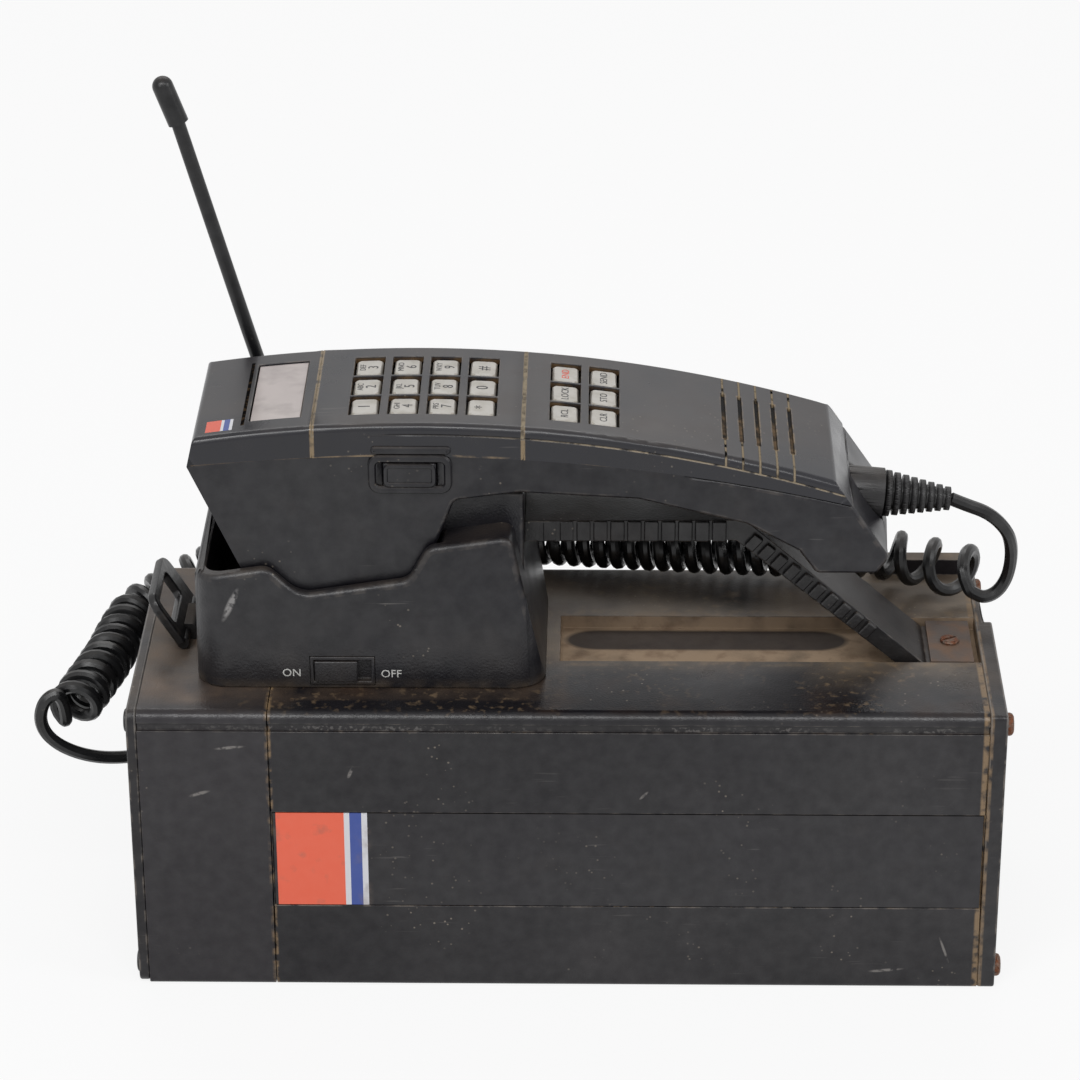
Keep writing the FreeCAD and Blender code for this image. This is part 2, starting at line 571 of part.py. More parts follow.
def make_handle():
    """A flat grip that slopes down to a foot in the trough, held under an anchor plate."""
    under = "(%s - handle_thickness)" % HANDLE_TOP
    bend = "(%s + %s - bend_before_mouth)" % (CRADLE_LEFT, MOUTH_START)
    foot = "(casing_length / 2 - handle_foot)"
    slope_run = "(%s - %s)" % (foot, bend)
    drop = "(handle_top - handle_thickness + trough_depth)"
    band = outline_body("handle_band", "XZ_Plane", [
        (HANDLE_START, under),
        (bend, under),
        ("(%s + %s * %s / (handle_top - handle_thickness))" % (bend, slope_run, drop),
         TROUGH_FLOOR),
        (ANCHOR_END, TROUGH_FLOOR),
        (ANCHOR_END, "(%s + handle_tab)" % TROUGH_FLOOR),
        ("(%s + handle_thickness * 1.6)" % foot, "(%s + handle_tab)" % TROUGH_FLOOR),
        ("(%s + handle_thickness * 0.36)" % bend, HANDLE_TOP),
        (HANDLE_START, HANDLE_TOP),
    ], "handle_width")
    tongue = box("handle_tongue",
                 ("(%s - tongue_length + tongue_gap)" % HANDLE_START, "-tongue_width / 2",
                  TONGUE_BOTTOM),
                 ("(tongue_length + 2)", "tongue_width", "tongue_thickness"))
    hole = rod("handle_hole", (HANDLE_SCREW_X, "0", TROUGH_FLOOR),
               "(screw_shank / 2 + screw_clearance)", "handle_tab")
    joined = fuse("handle_with_tongue", [band, tongue])
    keep(cut("handle_drilled", joined, [hole]), "carrying_handle")

    plate = box("anchor_block",
                (ANCHOR_START, "(-handle_width / 2 + anchor_inset)",
                 "(%s + handle_tab)" % TROUGH_FLOOR),
                ("anchor_length", "(handle_width - 2 * anchor_inset)", "anchor_thickness"))
    bore = rod("anchor_bore", (HANDLE_SCREW_X, "0", "(%s + handle_tab)" % TROUGH_FLOOR),
               "(screw_shank / 2 + screw_clearance)", "anchor_thickness")
    keep(cut("anchor_drilled", plate, [bore]), "handle_anchor_plate")


# ---------------------------------------------------------------- strap loop
LOOP_MIDDLE = "(loop_front + loop_width / 2)"
LOOP_AXIS_Z = "(casing_height + loop_height)"


def make_strap_loop():
    """A rectangular wire loop whose lower bar turns in a saddle on the casing's top."""
    saddle = box("saddle_block",
                 ("(%s - bracket_width / 2)" % LOOP_X, "(%s - bracket_length / 2)" % LOOP_MIDDLE,
                  "casing_height"),
                 ("bracket_width", "bracket_length", "(loop_height + loop_bar / 2 + bracket_wall)"))
    rounded = round_edges("saddle_round", saddle, "bracket_edge",
                          lambda edge: runs_along(edge, Y_AXIS)
                          and edge.BoundBox.ZMin > size("casing_height") + 0.1)
    bore = rod("saddle_bore",
               (LOOP_X, "(%s - bracket_length / 2)" % LOOP_MIDDLE, LOOP_AXIS_Z),
               "(loop_bar / 2 + loop_hinge_gap)", "bracket_length", Y_AXIS)
    keep(cut("saddle_bored", rounded, [bore]), "strap_loop_bracket")

    radius = size("loop_bar") / 2
    reach = size("loop_reach")
    width = size("loop_width")
    lower_bar = Part.makeCylinder(radius, width, V(0, 0, 0), Y_AXIS)
    upper_bar = Part.makeCylinder(radius, width, V(0, 0, reach), Y_AXIS)
    loop = lower_bar.fuse(upper_bar)
    for y in (0, width):
        arm = Part.makeCylinder(radius, reach, V(0, y, 0), Z_AXIS)
        ends = [Part.makeSphere(radius, V(0, y, z)) for z in (0, reach)]
        loop = loop.fuse([arm] + ends)
    item = feature("loop_ring", loop.removeSplitter())
    lean = FreeCAD.Rotation(Y_AXIS, size("loop_angle") - 90)
    item.Placement = FreeCAD.Placement(
        V(size(LOOP_X), size("loop_front"), size(LOOP_AXIS_Z)), lean)
    keep(item, "strap_loop")


# ---------------------------------------------------------------- antenna
PIVOT_Z = "(casing_height + antenna_pivot)"
# the whip bends a little on its way up; X and height from the pivot
WHIP_ROUTE = [(-1.2, 4.2), (-17.1, 58.6), (-37.3, 132.4)]
TIP_LEAN = 20


def make_antenna():
    """A forked socket, a knuckle on a cross pin, a flexible whip and its cap."""
    fork_width = "(knuckle_width + 2 * (fork_wall + knuckle_gap))"
    front = "(%s - knuckle_width / 2 - knuckle_gap - fork_wall)" % ANTENNA_Y
    base = rod("socket_base", (ANTENNA_X, ANTENNA_Y, "casing_height"), "socket_radius",
               "socket_height")
    plug = rod("socket_plug",
               (ANTENNA_X, ANTENNA_Y, "(casing_height - socket_plug)"),
               "(socket_radius - fork_wall)", "(socket_plug + 1)")
    ears = []
    for y in (front, "(%s + knuckle_width / 2 + knuckle_gap)" % ANTENNA_Y):
        ears.append(box("fork_ear", ("(%s - knuckle_radius)" % ANTENNA_X, y, "casing_height"),
                        ("(2 * knuckle_radius)", "fork_wall", "antenna_pivot")))
        ears.append(rod("fork_ear_top", (ANTENNA_X, y, PIVOT_Z), "knuckle_radius",
                        "fork_wall", Y_AXIS))
    bore = rod("fork_bore", (ANTENNA_X, front, PIVOT_Z), "(pin_radius + pin_gap)",
               fork_width, Y_AXIS)
    joined = fuse("socket_joined", [base, plug] + ears)
    keep(cut("socket_bored", joined, [bore]), "antenna_socket")

    keep(rod("hinge_pin", (ANTENNA_X, front, PIVOT_Z), "pin_radius", fork_width, Y_AXIS),
         "antenna_pin")

    barrel = Part.makeCylinder(size("knuckle_radius"), size("knuckle_width"),
                               V(0, -size("knuckle_width") / 2, 0), Y_AXIS)
    neck_end = V(WHIP_ROUTE[0][0], 0, WHIP_ROUTE[0][1])
    lean = V(WHIP_ROUTE[1][0], 0, WHIP_ROUTE[1][1]).sub(neck_end).normalize()
    neck = Part.makeCone(size("knuckle_width") / 2, size("whip_radius") + 0.6, 14,
                         neck_end - lean * 2, lean)
    pin_hole = Part.makeCylinder(size("(pin_radius + pin_gap)"), size("(2 * knuckle_width)"),
                                 V(0, -size("knuckle_width"), 0), Y_AXIS)
    whip_start = neck_end + lean * 5
    whip_points = [whip_start] + [V(x, 0, z) for x, z in WHIP_ROUTE[1:]]
    whip = tube(whip_points, size("whip_radius"))
    knuckle = barrel.fuse(neck).cut(pin_hole).cut(whip)
    tip_axis = V(-math.sin(math.radians(TIP_LEAN)), 0, math.cos(math.radians(TIP_LEAN)))
    tip_start = whip_points[-1] - tip_axis * 2
    tip = Part.makeCylinder(size("tip_radius"), size("tip_length") - size("tip_radius"),
                            tip_start, tip_axis)
    dome = Part.makeSphere(size("tip_radius"),
                           tip_start + tip_axis * (size("tip_length") - size("tip_radius")))
    cap = tip.fuse(dome).removeSplitter().cut(whip)
    pivot = V(size(ANTENNA_X), size(ANTENNA_Y), size(PIVOT_Z))
    for shape, label in ((knuckle, "antenna_knuckle"), (whip, "antenna_whip"),
                         (cap, "antenna_tip")):
        item = feature(label + "_shape", shape)
        item.Placement = FreeCAD.Placement(pivot, FreeCAD.Rotation())
        keep(item, label)


# ---------------------------------------------------------------- round cords and tubes
def tube(points, radius):
    """A round tube along straight runs joined by tangent arcs as large as the runs allow."""
    edges = []
    start = points[0]
    radii = []
    for before, corner, after in zip(points, points[1:], points[2:]):
        incoming = (corner - before).normalize()
        outgoing = (after - corner).normalize()
        half_turn = incoming.getAngle(outgoing) / 2
        reach = 0.45 * min((corner - before).Length, (after - corner).Length)
        bend = reach / math.tan(half_turn)
        radii.append(bend)
        first = corner - incoming * reach
        last = corner + outgoing * reach
        inward = (outgoing - incoming).normalize()
        middle = corner + inward * (bend / math.cos(half_turn) - bend)
        edges.append(Part.LineSegment(start, first).toShape())
        edges.append(Part.Arc(first, middle, last).toShape())
        start = last
    edges.append(Part.LineSegment(start, points[-1]).toShape())
    wire = Part.Wire(edges)
    section = Part.Wire(Part.Circle(points[0], points[1] - points[0], radius).toShape())
    shape = wire.makePipeShell([section], True, False)
    expected = math.pi * radius * radius * wire.Length
    print("tube: length %.1f, smallest radius %.1f, volume ratio %.4f"
          % (wire.Length, min(radii) if radii else 0, shape.Volume / expected))
    return shape


# ---------------------------------------------------------------- handset
# its pieces are drawn about the cradle's top left edge and seated there together
def seated(label, shape, place_on_handset=FreeCAD.Placement()):
    """Keep a piece of the handset, moved with the cradle and the casing's top."""
    item = feature(label + "_shape", shape)
    corner = V(size(CRADLE_LEFT), 0, size("casing_height"))
    item.Placement = FreeCAD.Placement(corner, FreeCAD.Rotation()) * place_on_handset
    return keep(item, label)


def crown(x):
    """Height of the handset's curved top at X."""
    radius = size("top_radius")
    return size(TOP) - radius + math.sqrt(radius ** 2 - (x - size("top_crest")) ** 2)


def on_top(x, y):
    """A placement on the curved top whose Z is the outward normal."""
    radius = size("top_radius")
    lean = math.asin((x - size("top_crest")) / radius)
    centre = V(size("top_crest"), y, size(TOP) - radius)
    spot = centre + V(math.sin(lean), 0, math.cos(lean)) * radius
    return FreeCAD.Placement(spot, FreeCAD.Rotation(Y_AXIS, math.degrees(lean)))


def on_crown(x, drop):
    """A point under the curved top, a drop along its normal."""
    placement = on_top(x, 0)
    return placement.multVec(V(0, 0, -drop))


def crown_arc(first, last, drop):
    """The arc that lies a drop under the curved top."""
    middle = (first + last) / 2
    return Part.Arc(on_crown(first, drop), on_crown(middle, drop), on_crown(last, drop)).toShape()


def slab(wire, width):
    """A closed wire in the XZ plane, extruded both ways along Y."""
    face = Part.Face(wire)
    face.translate(V(0, -width / 2, 0))
    return face.extrude(V(0, width, 0))


def straight(points):
    return [Part.LineSegment(a, b).toShape() for a, b in zip(points, points[1:])]


def crown_band(first, last, drop, thickness, width):
    """A curved plate that follows the top, between two depths."""
    upper = crown_arc(first, last, drop)
    lower = crown_arc(first, last, drop + thickness)
    sides = straight([upper.lastVertex().Point, lower.lastVertex().Point])
    ends = straight([lower.firstVertex().Point, upper.firstVertex().Point])
    return slab(Part.Wire(Part.__sortEdges__([upper, lower] + sides + ends)), width)


# the underside from the nose to the display end, as X and Z
UNDERSIDE = [
    ("nose_end", "(%s + nose_rise)" % MOUTH),
    ("(nose_end - nose_undercut)", MOUTH),
    (MOUTH_START, MOUTH),
    ("(%s - chin_run)" % MOUTH_START, "(%s + chin_rise)" % MOUTH),
    ("(%s - neck_run)" % MOUTH_START, "(%s + neck_rise)" % MOUTH),
    ("(%s - throat_run)" % MOUTH_START, "(%s + throat_rise)" % MOUTH),
    ("(grip_left + grip_run)", GRIP),
    ("grip_left", "(%s - grip_dip)" % GRIP),
    ("bulge_right", "bulge_rise"),
    ("bulge_left", "bulge_rise"),
    ("-handset_overhang", "(%s - seam_left_drop)" % TOP),
]


def top_ends():
    """Where the curved top starts and ends, as X."""
    return size("(end_lean - handset_overhang)"), size("(nose_end - nose_lean)")


def handset_profile():
    start, nose = top_ends()
    top = crown_arc(start, nose, 0)
    corners = [V(size(x), 0, size(z)) for x, z in UNDERSIDE]
    path = [V(nose, 0, crown(nose))] + corners + [V(start, 0, crown(start))]
    return Part.Wire(Part.__sortEdges__([top] + straight(path)))


def edges_at(shape, spots, radius=0.6):
    """Edges along Y that pass through the given X and Z spots."""
    chosen = []
    for edge in shape.Edges:
        if runs_along(edge, Y_AXIS):
            middle = edge.CenterOfMass
            if any(abs(middle.x - x) < radius and abs(middle.z - z) < radius for x, z in spots):
                chosen.append(edge)
    return chosen


def handset_solid():
    """The outside of the closed handset, its top edges and its corners rounded."""
    solid = slab(handset_profile(), size("handset_width"))
    soft = [("bulge_left", "bulge_rise"), ("bulge_right", "bulge_rise"),
            ("grip_left", "(%s - grip_dip)" % GRIP), (MOUTH_START, MOUTH)]
    solid = solid.makeFillet(size("bulge_edge"),
                             edges_at(solid, [(size(x), size(z)) for x, z in soft]))
    top_edges = [
        edge for edge in solid.Edges
        if edge.Curve.TypeId == "Part::GeomCircle" and edge.Curve.Radius > size("top_radius") / 2
    ]
    top_edges += edges_at(solid, [(x, crown(x)) for x in top_ends()])
    return solid.makeFillet(size("top_rounding"), top_edges)


def handset_cavity():
    inner = Part.Face(handset_profile()).makeOffset2D(-size("handset_wall"))
    width = size("(handset_width - 2 * handset_wall)")
    inner.translate(V(0, -width / 2, 0))
    return inner.extrude(V(0, width, 0))


def seam_prism():
    """Everything above the seam between the handset's covers and its lower shell."""
    start, end = size("-handset_overhang"), size("nose_end")
    left = V(start, 0, size("(%s - seam_left_drop)" % TOP))
    right = V(end, 0, size("(%s - seam_right_drop)" % TOP))
    middle = V(size("seam_middle_at"), 0, size("(%s - seam_middle_drop)" % TOP))
    arc = Part.Arc(left, middle, right).toShape()
    beyond = V(size("nose_lean"), 0, 0)
    high = V(0, 0, size("(2 * %s)" % TOP))
    frame = straight([right, right + beyond, right + beyond + high, left - beyond + high,
                      left - beyond, left])
    return slab(Part.Wire(Part.__sortEdges__([arc] + frame)), size("(2 * handset_width)"))


def column_xs():
    """The key columns: four for numbers, then two for functions."""
    pitch = size("key_column_pitch")
    numbers = [size("number_column_first") + pitch * index for index in range(4)]
    functions = [size("function_column_first") + pitch * index for index in range(2)]
    return numbers, functions


NUMBER_KEYS = [["1", "4", "7", "star"], ["2", "5", "8", "zero"], ["3", "6", "9", "hash"]]
FUNCTION_KEYS = [["recall", "clear"], ["lock", "store"], ["end", "send"]]


def key_places():
    """Every key's name and its place on the curved top."""
    numbers, functions = column_xs()
    for row in range(3):
        y = (row - 1) * size("key_row_pitch")
        for xs, names in ((numbers, NUMBER_KEYS), (functions, FUNCTION_KEYS)):
            for x, name in zip(xs, names[row]):
                yield "key_" + name, x, y


def key_block(growth, height, drop):
    """A key-sized block about the local origin, grown all round for its window."""
    length = size("key_length") + 2 * growth
    width = size("key_width") + 2 * growth
    return Part.makeBox(length, width, height, V(-length / 2, -width / 2, -drop))


def placed(shape, placement):
    copy = shape.copy()
    copy.Placement = placement
    return copy


def relief_placement(back=0):
    """The strain relief's axis, from its collar's inner face or from a way behind it."""
    lean = FreeCAD.Rotation(Y_AXIS, 90 + size("relief_tilt"))
    start = V(size("(nose_end - relief_inset)"), 0, size("(%s + relief_rise)" % MOUTH))
    return FreeCAD.Placement(start - lean.multVec(Z_AXIS) * back, lean)


def screw_column(radius, bottom, top):
    """Two upright cylinders at the handset's screws."""
    columns = []
    for y in (-size("handset_screw_side"), size("handset_screw_side")):
        foot = V(size("(%s - handset_screw_inset)" % MOUTH_START), y, bottom)
        columns.append(Part.makeCylinder(radius, top - bottom, foot))
    return columns


def screw_seat():
    return size("(%s + handset_screw_rise)" % MOUTH)


def side_key_box(growth, front, back):
    """A block in the front wall, grown all round, between two depths."""
    length = size("side_key_length") + 2 * growth
    height = size("side_key_height") + 2 * growth
    return Part.makeBox(length, back - front, height,
                        V(size("side_key_at") - length / 2, front,
                          size("(%s - side_key_drop)" % TOP) - height / 2))


def make_handset_shells():
    """A hollow handset split at the seam; its top is three covers side by side."""
    outside = handset_solid()
    hollow = outside.cut(handset_cavity())
    above = seam_prism()
    front = -size("handset_width") / 2
    wall = size("handset_wall")
    relief_bore = placed(Part.makeCylinder(size("(relief_collar + relief_gap)"),
                                           size("(2 * relief_inset + wall_margin)")),
                         relief_placement(size("wall_margin")))
    seat = screw_seat()
    boss_top = seat + size("handset_boss_height")
    post_radius = size("handset_post_radius")
    shank = size("(handset_screw_radius + screw_clearance)")
    head = size("(handset_screw_head + relief_gap)")

    lower = hollow.cut(above)
    lower = lower.fuse(screw_column(post_radius, seat - wall * 0.75, boss_top)).removeSplitter()
    lower = lower.cut(screw_column(head, seat - wall * 3, seat))
    lower = lower.cut(screw_column(shank, seat - wall / 2, boss_top + wall / 2))
    recess = side_key_box(size("side_key_frame"), front - wall, front + size("side_key_recess"))
    window = side_key_box(size("key_gap"), front - wall, front + wall * 1.5)
    seated("handset_lower_shell", lower.cut([recess, window, relief_bore]))

    posts = [
        column.common(outside)
        for column in screw_column(post_radius, boss_top + size("relief_gap"), size(TOP))
    ]
    upper = hollow.common(above).fuse(posts)
    upper = upper.cut(screw_column(shank, boss_top,
                                   seat + size("(handset_screw_length + screw_end_gap)")))
    deep = size("(2 * key_depth)")
    windows = [
        placed(key_block(size("key_gap"), 2 * deep, deep), on_top(x, y))
        for _, x, y in key_places()
    ]
    display = Part.makeBox(size("display_length"), size("display_width"), 3 * deep,
                           V(size(DISPLAY_START), -size("display_width") / 2,
                             size(TOP) - 2 * deep))
    slots = []
    for index in range(int(size("slot_count"))):
        width, length = size("slot_width"), size("slot_length")
        slot = Part.makeBox(width, length, 2 * deep, V(-width / 2, -length / 2, -deep))
        slots.append(placed(slot, on_top(size("slot_first") + index * size("slot_pitch"), 0)))
    upper = upper.cut(windows + [display, relief_bore] + slots)
    half_gap = size("panel_gap") / 2
    limits = [-size("display_length"), size("panel_seam_display"), size("panel_seam_grille"),
              size("(nose_end + nose_lean)")]
    names = ["display_cover", "keypad_cover", "grille_cover"]
    for name, first, last in zip(names, limits, limits[1:]):
        span = Part.makeBox(last - first - 2 * half_gap, -4 * front, size(TOP),
                            V(first + half_gap, 2 * front, size(MOUTH)))
        seated(name, upper.common(span))


def make_keys():
    block = key_block(0, size("key_proud") + size("key_depth"), size("key_depth"))
    top_edges = [edge for edge in block.Edges if edge.BoundBox.ZMin > size("key_proud") - 0.01]
    key = block.makeChamfer(size("key_edge"), top_edges)
    for name, x, y in key_places():
        seated(name, key, on_top(x, y))

    front = -size("handset_width") / 2
    face = front - size("side_key_proud") + size("side_key_recess")
    button = side_key_box(0, face, front + size("side_key_depth"))
    outer = [edge for edge in button.Edges if edge.BoundBox.YMax < face + 0.01]
    seated("side_key", button.makeFillet(size("key_edge"), outer))


def upright(x, y, z, radius, height):
    return Part.makeCylinder(size(radius), size(height), V(size(x), size(y), size(z)))


def make_handset_insides():
    start, end = size(DISPLAY_START), size(DISPLAY_END)
    gap, margin = size("lens_gap"), size("module_margin")
    width = size("display_width") - 2 * gap
    sink, thick = size("lens_sink"), size("lens_thickness")
    seated("display_lens", crown_band(start + gap, end - gap, sink, thick, width))
    seated("display_module", crown_band(start + margin, end - margin, sink + thick + gap,
                                        size("module_thickness"), width - 4 * margin))

    first = size("(number_column_first - key_length / 2 - mat_before)")
    last = size("(function_column_first + key_column_pitch + key_length / 2 + mat_beyond)")
    drop, edge = size("mat_drop"), size("mat_edge")
    arc = crown_arc(first, last, drop)
    left, right = on_crown(first, drop), on_crown(last, drop)
    below = V(0, 0, -edge)
    frame = straight([right, right + below, left + below, left])
    mat = slab(Part.Wire(Part.__sortEdges__([arc] + frame)), size("mat_width"))
    seated("keypad_mat", mat)

    thickness = V(0, 0, -size("board_thickness"))
    corners = [left + below, right + below, right + below + thickness, left + below + thickness]
    board_width = size("(handset_width - 2 * handset_wall - 2 * board_side_gap)")
    board = slab(Part.Wire(straight(corners + corners[:1])), board_width)
    seated("handset_board", board)

    floor = "(bulge_rise + handset_wall + seat_gap)"
    seated("earpiece_capsule",
           upright(EARPIECE_AT, "0", floor, "earpiece_radius", "earpiece_height"))
    seated("microphone_capsule",
           upright("(nose_end - microphone_inset)", "0", "(%s + handset_wall + seat_gap)" % MOUTH,
                   "microphone_radius", "microphone_height"))
    side = size("magnet_side")
    depth = size("(handset_width / 2 - handset_wall - earpiece_radius - 2 * magnet_gap)")
    magnet = Part.makeBox(side, depth, side / 2,
                          V(size(EARPIECE_AT) - side / 2,
                            size("(earpiece_radius + magnet_gap)"), size(floor)))
    seated("hook_magnet", magnet)

    seat = screw_seat()
    heads = screw_column(size("handset_screw_head"), seat - size("handset_head_height"), seat)
    shanks = screw_column(size("handset_screw_radius"), seat - size("handset_head_height") / 2,
                          seat + size("handset_screw_length"))
    screws = [head.fuse(shank) for head, shank in zip(heads, shanks)]
    seated("handset_screws", Part.makeCompound(screws))


def make_strain_relief():
    """A moulded boot: a collar in the nose and ribs that get smaller along the cord."""
    collar = size("relief_collar_length")
    count = int(size("relief_ribs"))
    pitch, width = size("relief_pitch"), size("relief_rib_width")
    step = size("relief_step")
    length = collar + step + pitch * (count - 1) + width
    boot = Part.makeCylinder(size("relief_collar"), collar)
    core = Part.makeCone(size("relief_core_first"), size("relief_core_last"), length - collar,
                         V(0, 0, collar))
    ribs = []
    for index in range(count):
        share = index / (count - 1)
        radius = size("relief_rib_first") * (1 - share) + size("relief_rib_last") * share
        ribs.append(Part.makeCylinder(radius, width, V(0, 0, collar + step + pitch * index)))
    item = seated("strain_relief", boot.fuse([core] + ribs).removeSplitter(), relief_placement())
    return item.Placement.multVec(V(0, 0, length))


# ---------------------------------------------------------------- inside the casing
def make_power():
    """Cells in a tray, two rows along the casing, as many as the bay takes."""
    pitch = "(2 * cell_radius + cell_gap)"
    room = "(%s - %s - 2 * tray_wall - cell_gap)" % (POWER_BOARD_X, TRAY_START)
    columns = int(size(room) / size(pitch))
    base = "(casing_wall + tray_standoff + tray_wall + seat_gap)"
    height = ("(%s - rib_thickness - cell_headroom - cell_button_height - %s)"
              % (RADIO_BOARD_Z, base))
    cells_group = []
    for column in range(columns):
        x = "(%s + tray_wall + cell_gap + cell_radius + %d * %s)" % (TRAY_START, column, pitch)
        for y in ("-%s / 2" % pitch, "%s / 2" % pitch):
            body = rod("cell", (x, y, base), "cell_radius", height)
            button = rod("cell_button", (x, y, "(%s + %s - cell_button_height)" % (base, height)),
                         "cell_button_radius", "(2 * cell_button_height)")
            cells_group.append(fuse("cell_with_button", [body, button]))
    keep(group("cell_group", cells_group), "battery_cells")

    length = "(%d * %s + cell_gap + 2 * tray_wall)" % (columns, pitch)
    half = "(%s + tray_wall)" % pitch
    outer = box("tray_outer", (TRAY_START, "-" + half, "(casing_wall + tray_standoff)"),
                (length, "(2 * %s)" % half, "tray_height"))
    inner = box("tray_inner",
                ("(%s + tray_wall)" % TRAY_START, "-" + pitch,
                 "(casing_wall + tray_standoff + tray_wall)"),
                ("(%s - 2 * tray_wall)" % length, "(2 * %s)" % pitch, "tray_height"))
    keep(cut("tray_shell", outer, [inner]), "battery_tray")


def make_boards():
    """The radio board rests on ribs of the housing's walls, its shield can on top of it."""
    start = "(%s + board_inset)" % TRAY_START
    keep(box("radio_board_plate", (start, "-%s / 2" % RADIO_BOARD_WIDTH, RADIO_BOARD_Z),
             (RADIO_BOARD_LENGTH, RADIO_BOARD_WIDTH, "board_thickness")), "radio_board")
    can_floor = "(%s + board_thickness)" % RADIO_BOARD_Z
    can_start = "(%s + shield_inset)" % start
    can = box("can_outer", (can_start, "-shield_width / 2", can_floor),
              ("shield_length", "shield_width", "shield_height"))
    room = box("can_room",
               ("(%s + shield_wall)" % can_start, "(-shield_width / 2 + shield_wall)", can_floor),
               ("(shield_length - 2 * shield_wall)", "(shield_width - 2 * shield_wall)",
                "(shield_height - shield_wall)"))
    keep(cut("can_shell", can, [room]), "radio_shield")
    width = "(casing_depth - 2 * post_side - 2 * power_board_gap)"
    keep(box("power_board_plate",
             (POWER_BOARD_X, "-%s / 2" % width, "(casing_wall + seat_gap)"),
             ("board_thickness", width,
              "(casing_height - trough_depth - 2 * casing_wall - 2 * seat_gap)")), "power_board")


def make_gland():
    flange = rod("gland_flange", ("(%s - gland_length)" % LEFT_END, "0", "gland_height"),
                 "gland_radius", "gland_length", X_AXIS)
    neck = rod("gland_neck_rod", (LEFT_END, "0", "gland_height"), "gland_neck",
               "gland_neck_length", X_AXIS)
    keep(fuse("gland_body", [flange, neck]), "cord_gland")


# ---------------------------------------------------------------- the curly cord
# from the strain relief's tip round to the coil's first turn
HANDSET_LEAD = [(124.3, 3.4, 129.8), (128.9, 6.3, 121.7), (129.6, 9, 113), (127.8, 13.5, 105),
                (122.5, 18.5, 99.3), (115, 23, 98.2)]
# along the rear of the top, behind the cradle, round the corner and down the left end
COIL_ROUTE = [(115, 23, 98.2), (100, 30.5, 100.2), (68, 36.5, 98.6), (32, 40.5, 98.2),
              (0, 45, 98.2), (-29, 50.5, 97.4), (-55, 54, 94.6), (-79, 55.6, 90.8),
              (-101, 57.5, 86.8), (-115, 59, 84.3), (-124.8, 57.3, 82.4), (-131.4, 51.5, 80.8),
              (-133.8, 42, 79.2), (-133.6, 28, 76.8), (-136.2, 15.5, 74.9), (-140, 4.5, 72.5),
              (-144.3, -6, 70)]
# off the top of the coil's last turn, over to the left and back down to the gland
CASING_LEAD = [(-145.5, -7, 76.1), (-150.6, -8, 76.1), (-155.5, -9, 71.2), (-155.5, -9, 64.3),
               (-150.7, -7.8, 58.5), (-144.3, -5.5, 54.2), (-136.8, -2.8, 51.6)]


def make_cord(relief_tip):
    lean = relief_placement().Rotation.multVec(Z_AXIS)
    start = relief_tip + lean * size("cord_end_gap")
    bend = start + lean * size("cord_first_run")
    gland_face = V(size("(%s - gland_length)" % LEFT_END), 0, size("gland_height"))
    wire = size("wire_radius")
    pieces = (
        ("cord_lead_handset", [start, bend] + [V(*spot) for spot in HANDSET_LEAD], wire),
        ("cord_coil", [V(*spot) for spot in COIL_ROUTE], size("coil_radius")),
        ("cord_lead_casing", [V(*spot) for spot in CASING_LEAD] + [gland_face], wire),
    )
    for label, points, radius in pieces:
        print(label)
        keep(feature(label + "_shape", tube(points, radius)), label)


# ---------------------------------------------------------------- build, check and write
make_casing()
make_end_caps()
make_screws()
make_cradle()
make_switch()
make_handle()
make_strap_loop()
make_antenna()
make_handset_shells()
make_keys()
make_handset_insides()
tip = make_strain_relief()
make_power()
make_boards()
make_gland()
make_cord(tip)
doc.recompute()

for item in doc.Objects:
    if "Invalid" in item.State or "Error" in item.State:
        raise RuntimeError("%s failed: %s" % (item.Label, item.State))
for item in sub_parts:
    if item.Shape.isNull() or not item.Shape.isValid():
        raise RuntimeError("%s has no valid shape" % item.Label)

os.makedirs("parts", exist_ok=True)
for item in sub_parts:
    item.Shape.exportStep("parts/%s.step" % item.Label)
print("%d sub-parts written" % len(sub_parts))
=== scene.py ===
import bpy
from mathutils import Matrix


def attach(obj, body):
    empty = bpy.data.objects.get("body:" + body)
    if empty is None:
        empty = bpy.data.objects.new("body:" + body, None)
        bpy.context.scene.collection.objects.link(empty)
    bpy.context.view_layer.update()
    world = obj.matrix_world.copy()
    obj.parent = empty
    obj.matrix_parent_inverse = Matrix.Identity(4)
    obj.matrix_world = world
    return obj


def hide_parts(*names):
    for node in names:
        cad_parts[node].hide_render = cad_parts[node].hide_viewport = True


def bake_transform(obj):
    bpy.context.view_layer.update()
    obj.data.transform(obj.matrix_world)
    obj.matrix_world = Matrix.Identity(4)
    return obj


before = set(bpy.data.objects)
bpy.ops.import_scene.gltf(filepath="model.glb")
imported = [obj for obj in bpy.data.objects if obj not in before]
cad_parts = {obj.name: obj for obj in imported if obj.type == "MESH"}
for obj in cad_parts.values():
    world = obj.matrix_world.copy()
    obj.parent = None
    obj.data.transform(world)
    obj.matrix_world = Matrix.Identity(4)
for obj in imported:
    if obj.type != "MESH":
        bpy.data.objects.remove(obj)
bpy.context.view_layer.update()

from math import asin, atan2, cos, pi, radians, sin, tan

import bmesh
import bpy
from mathutils import Matrix, Vector

# Camera. It looks down on the front of the telephone from a little right of
# its middle, with a long lens, as for a sale picture.
def placed(name, data):
    """A new object in the scene."""
    made = bpy.data.objects.new(name, data)
    bpy.context.scene.collection.objects.link(made)
    return made


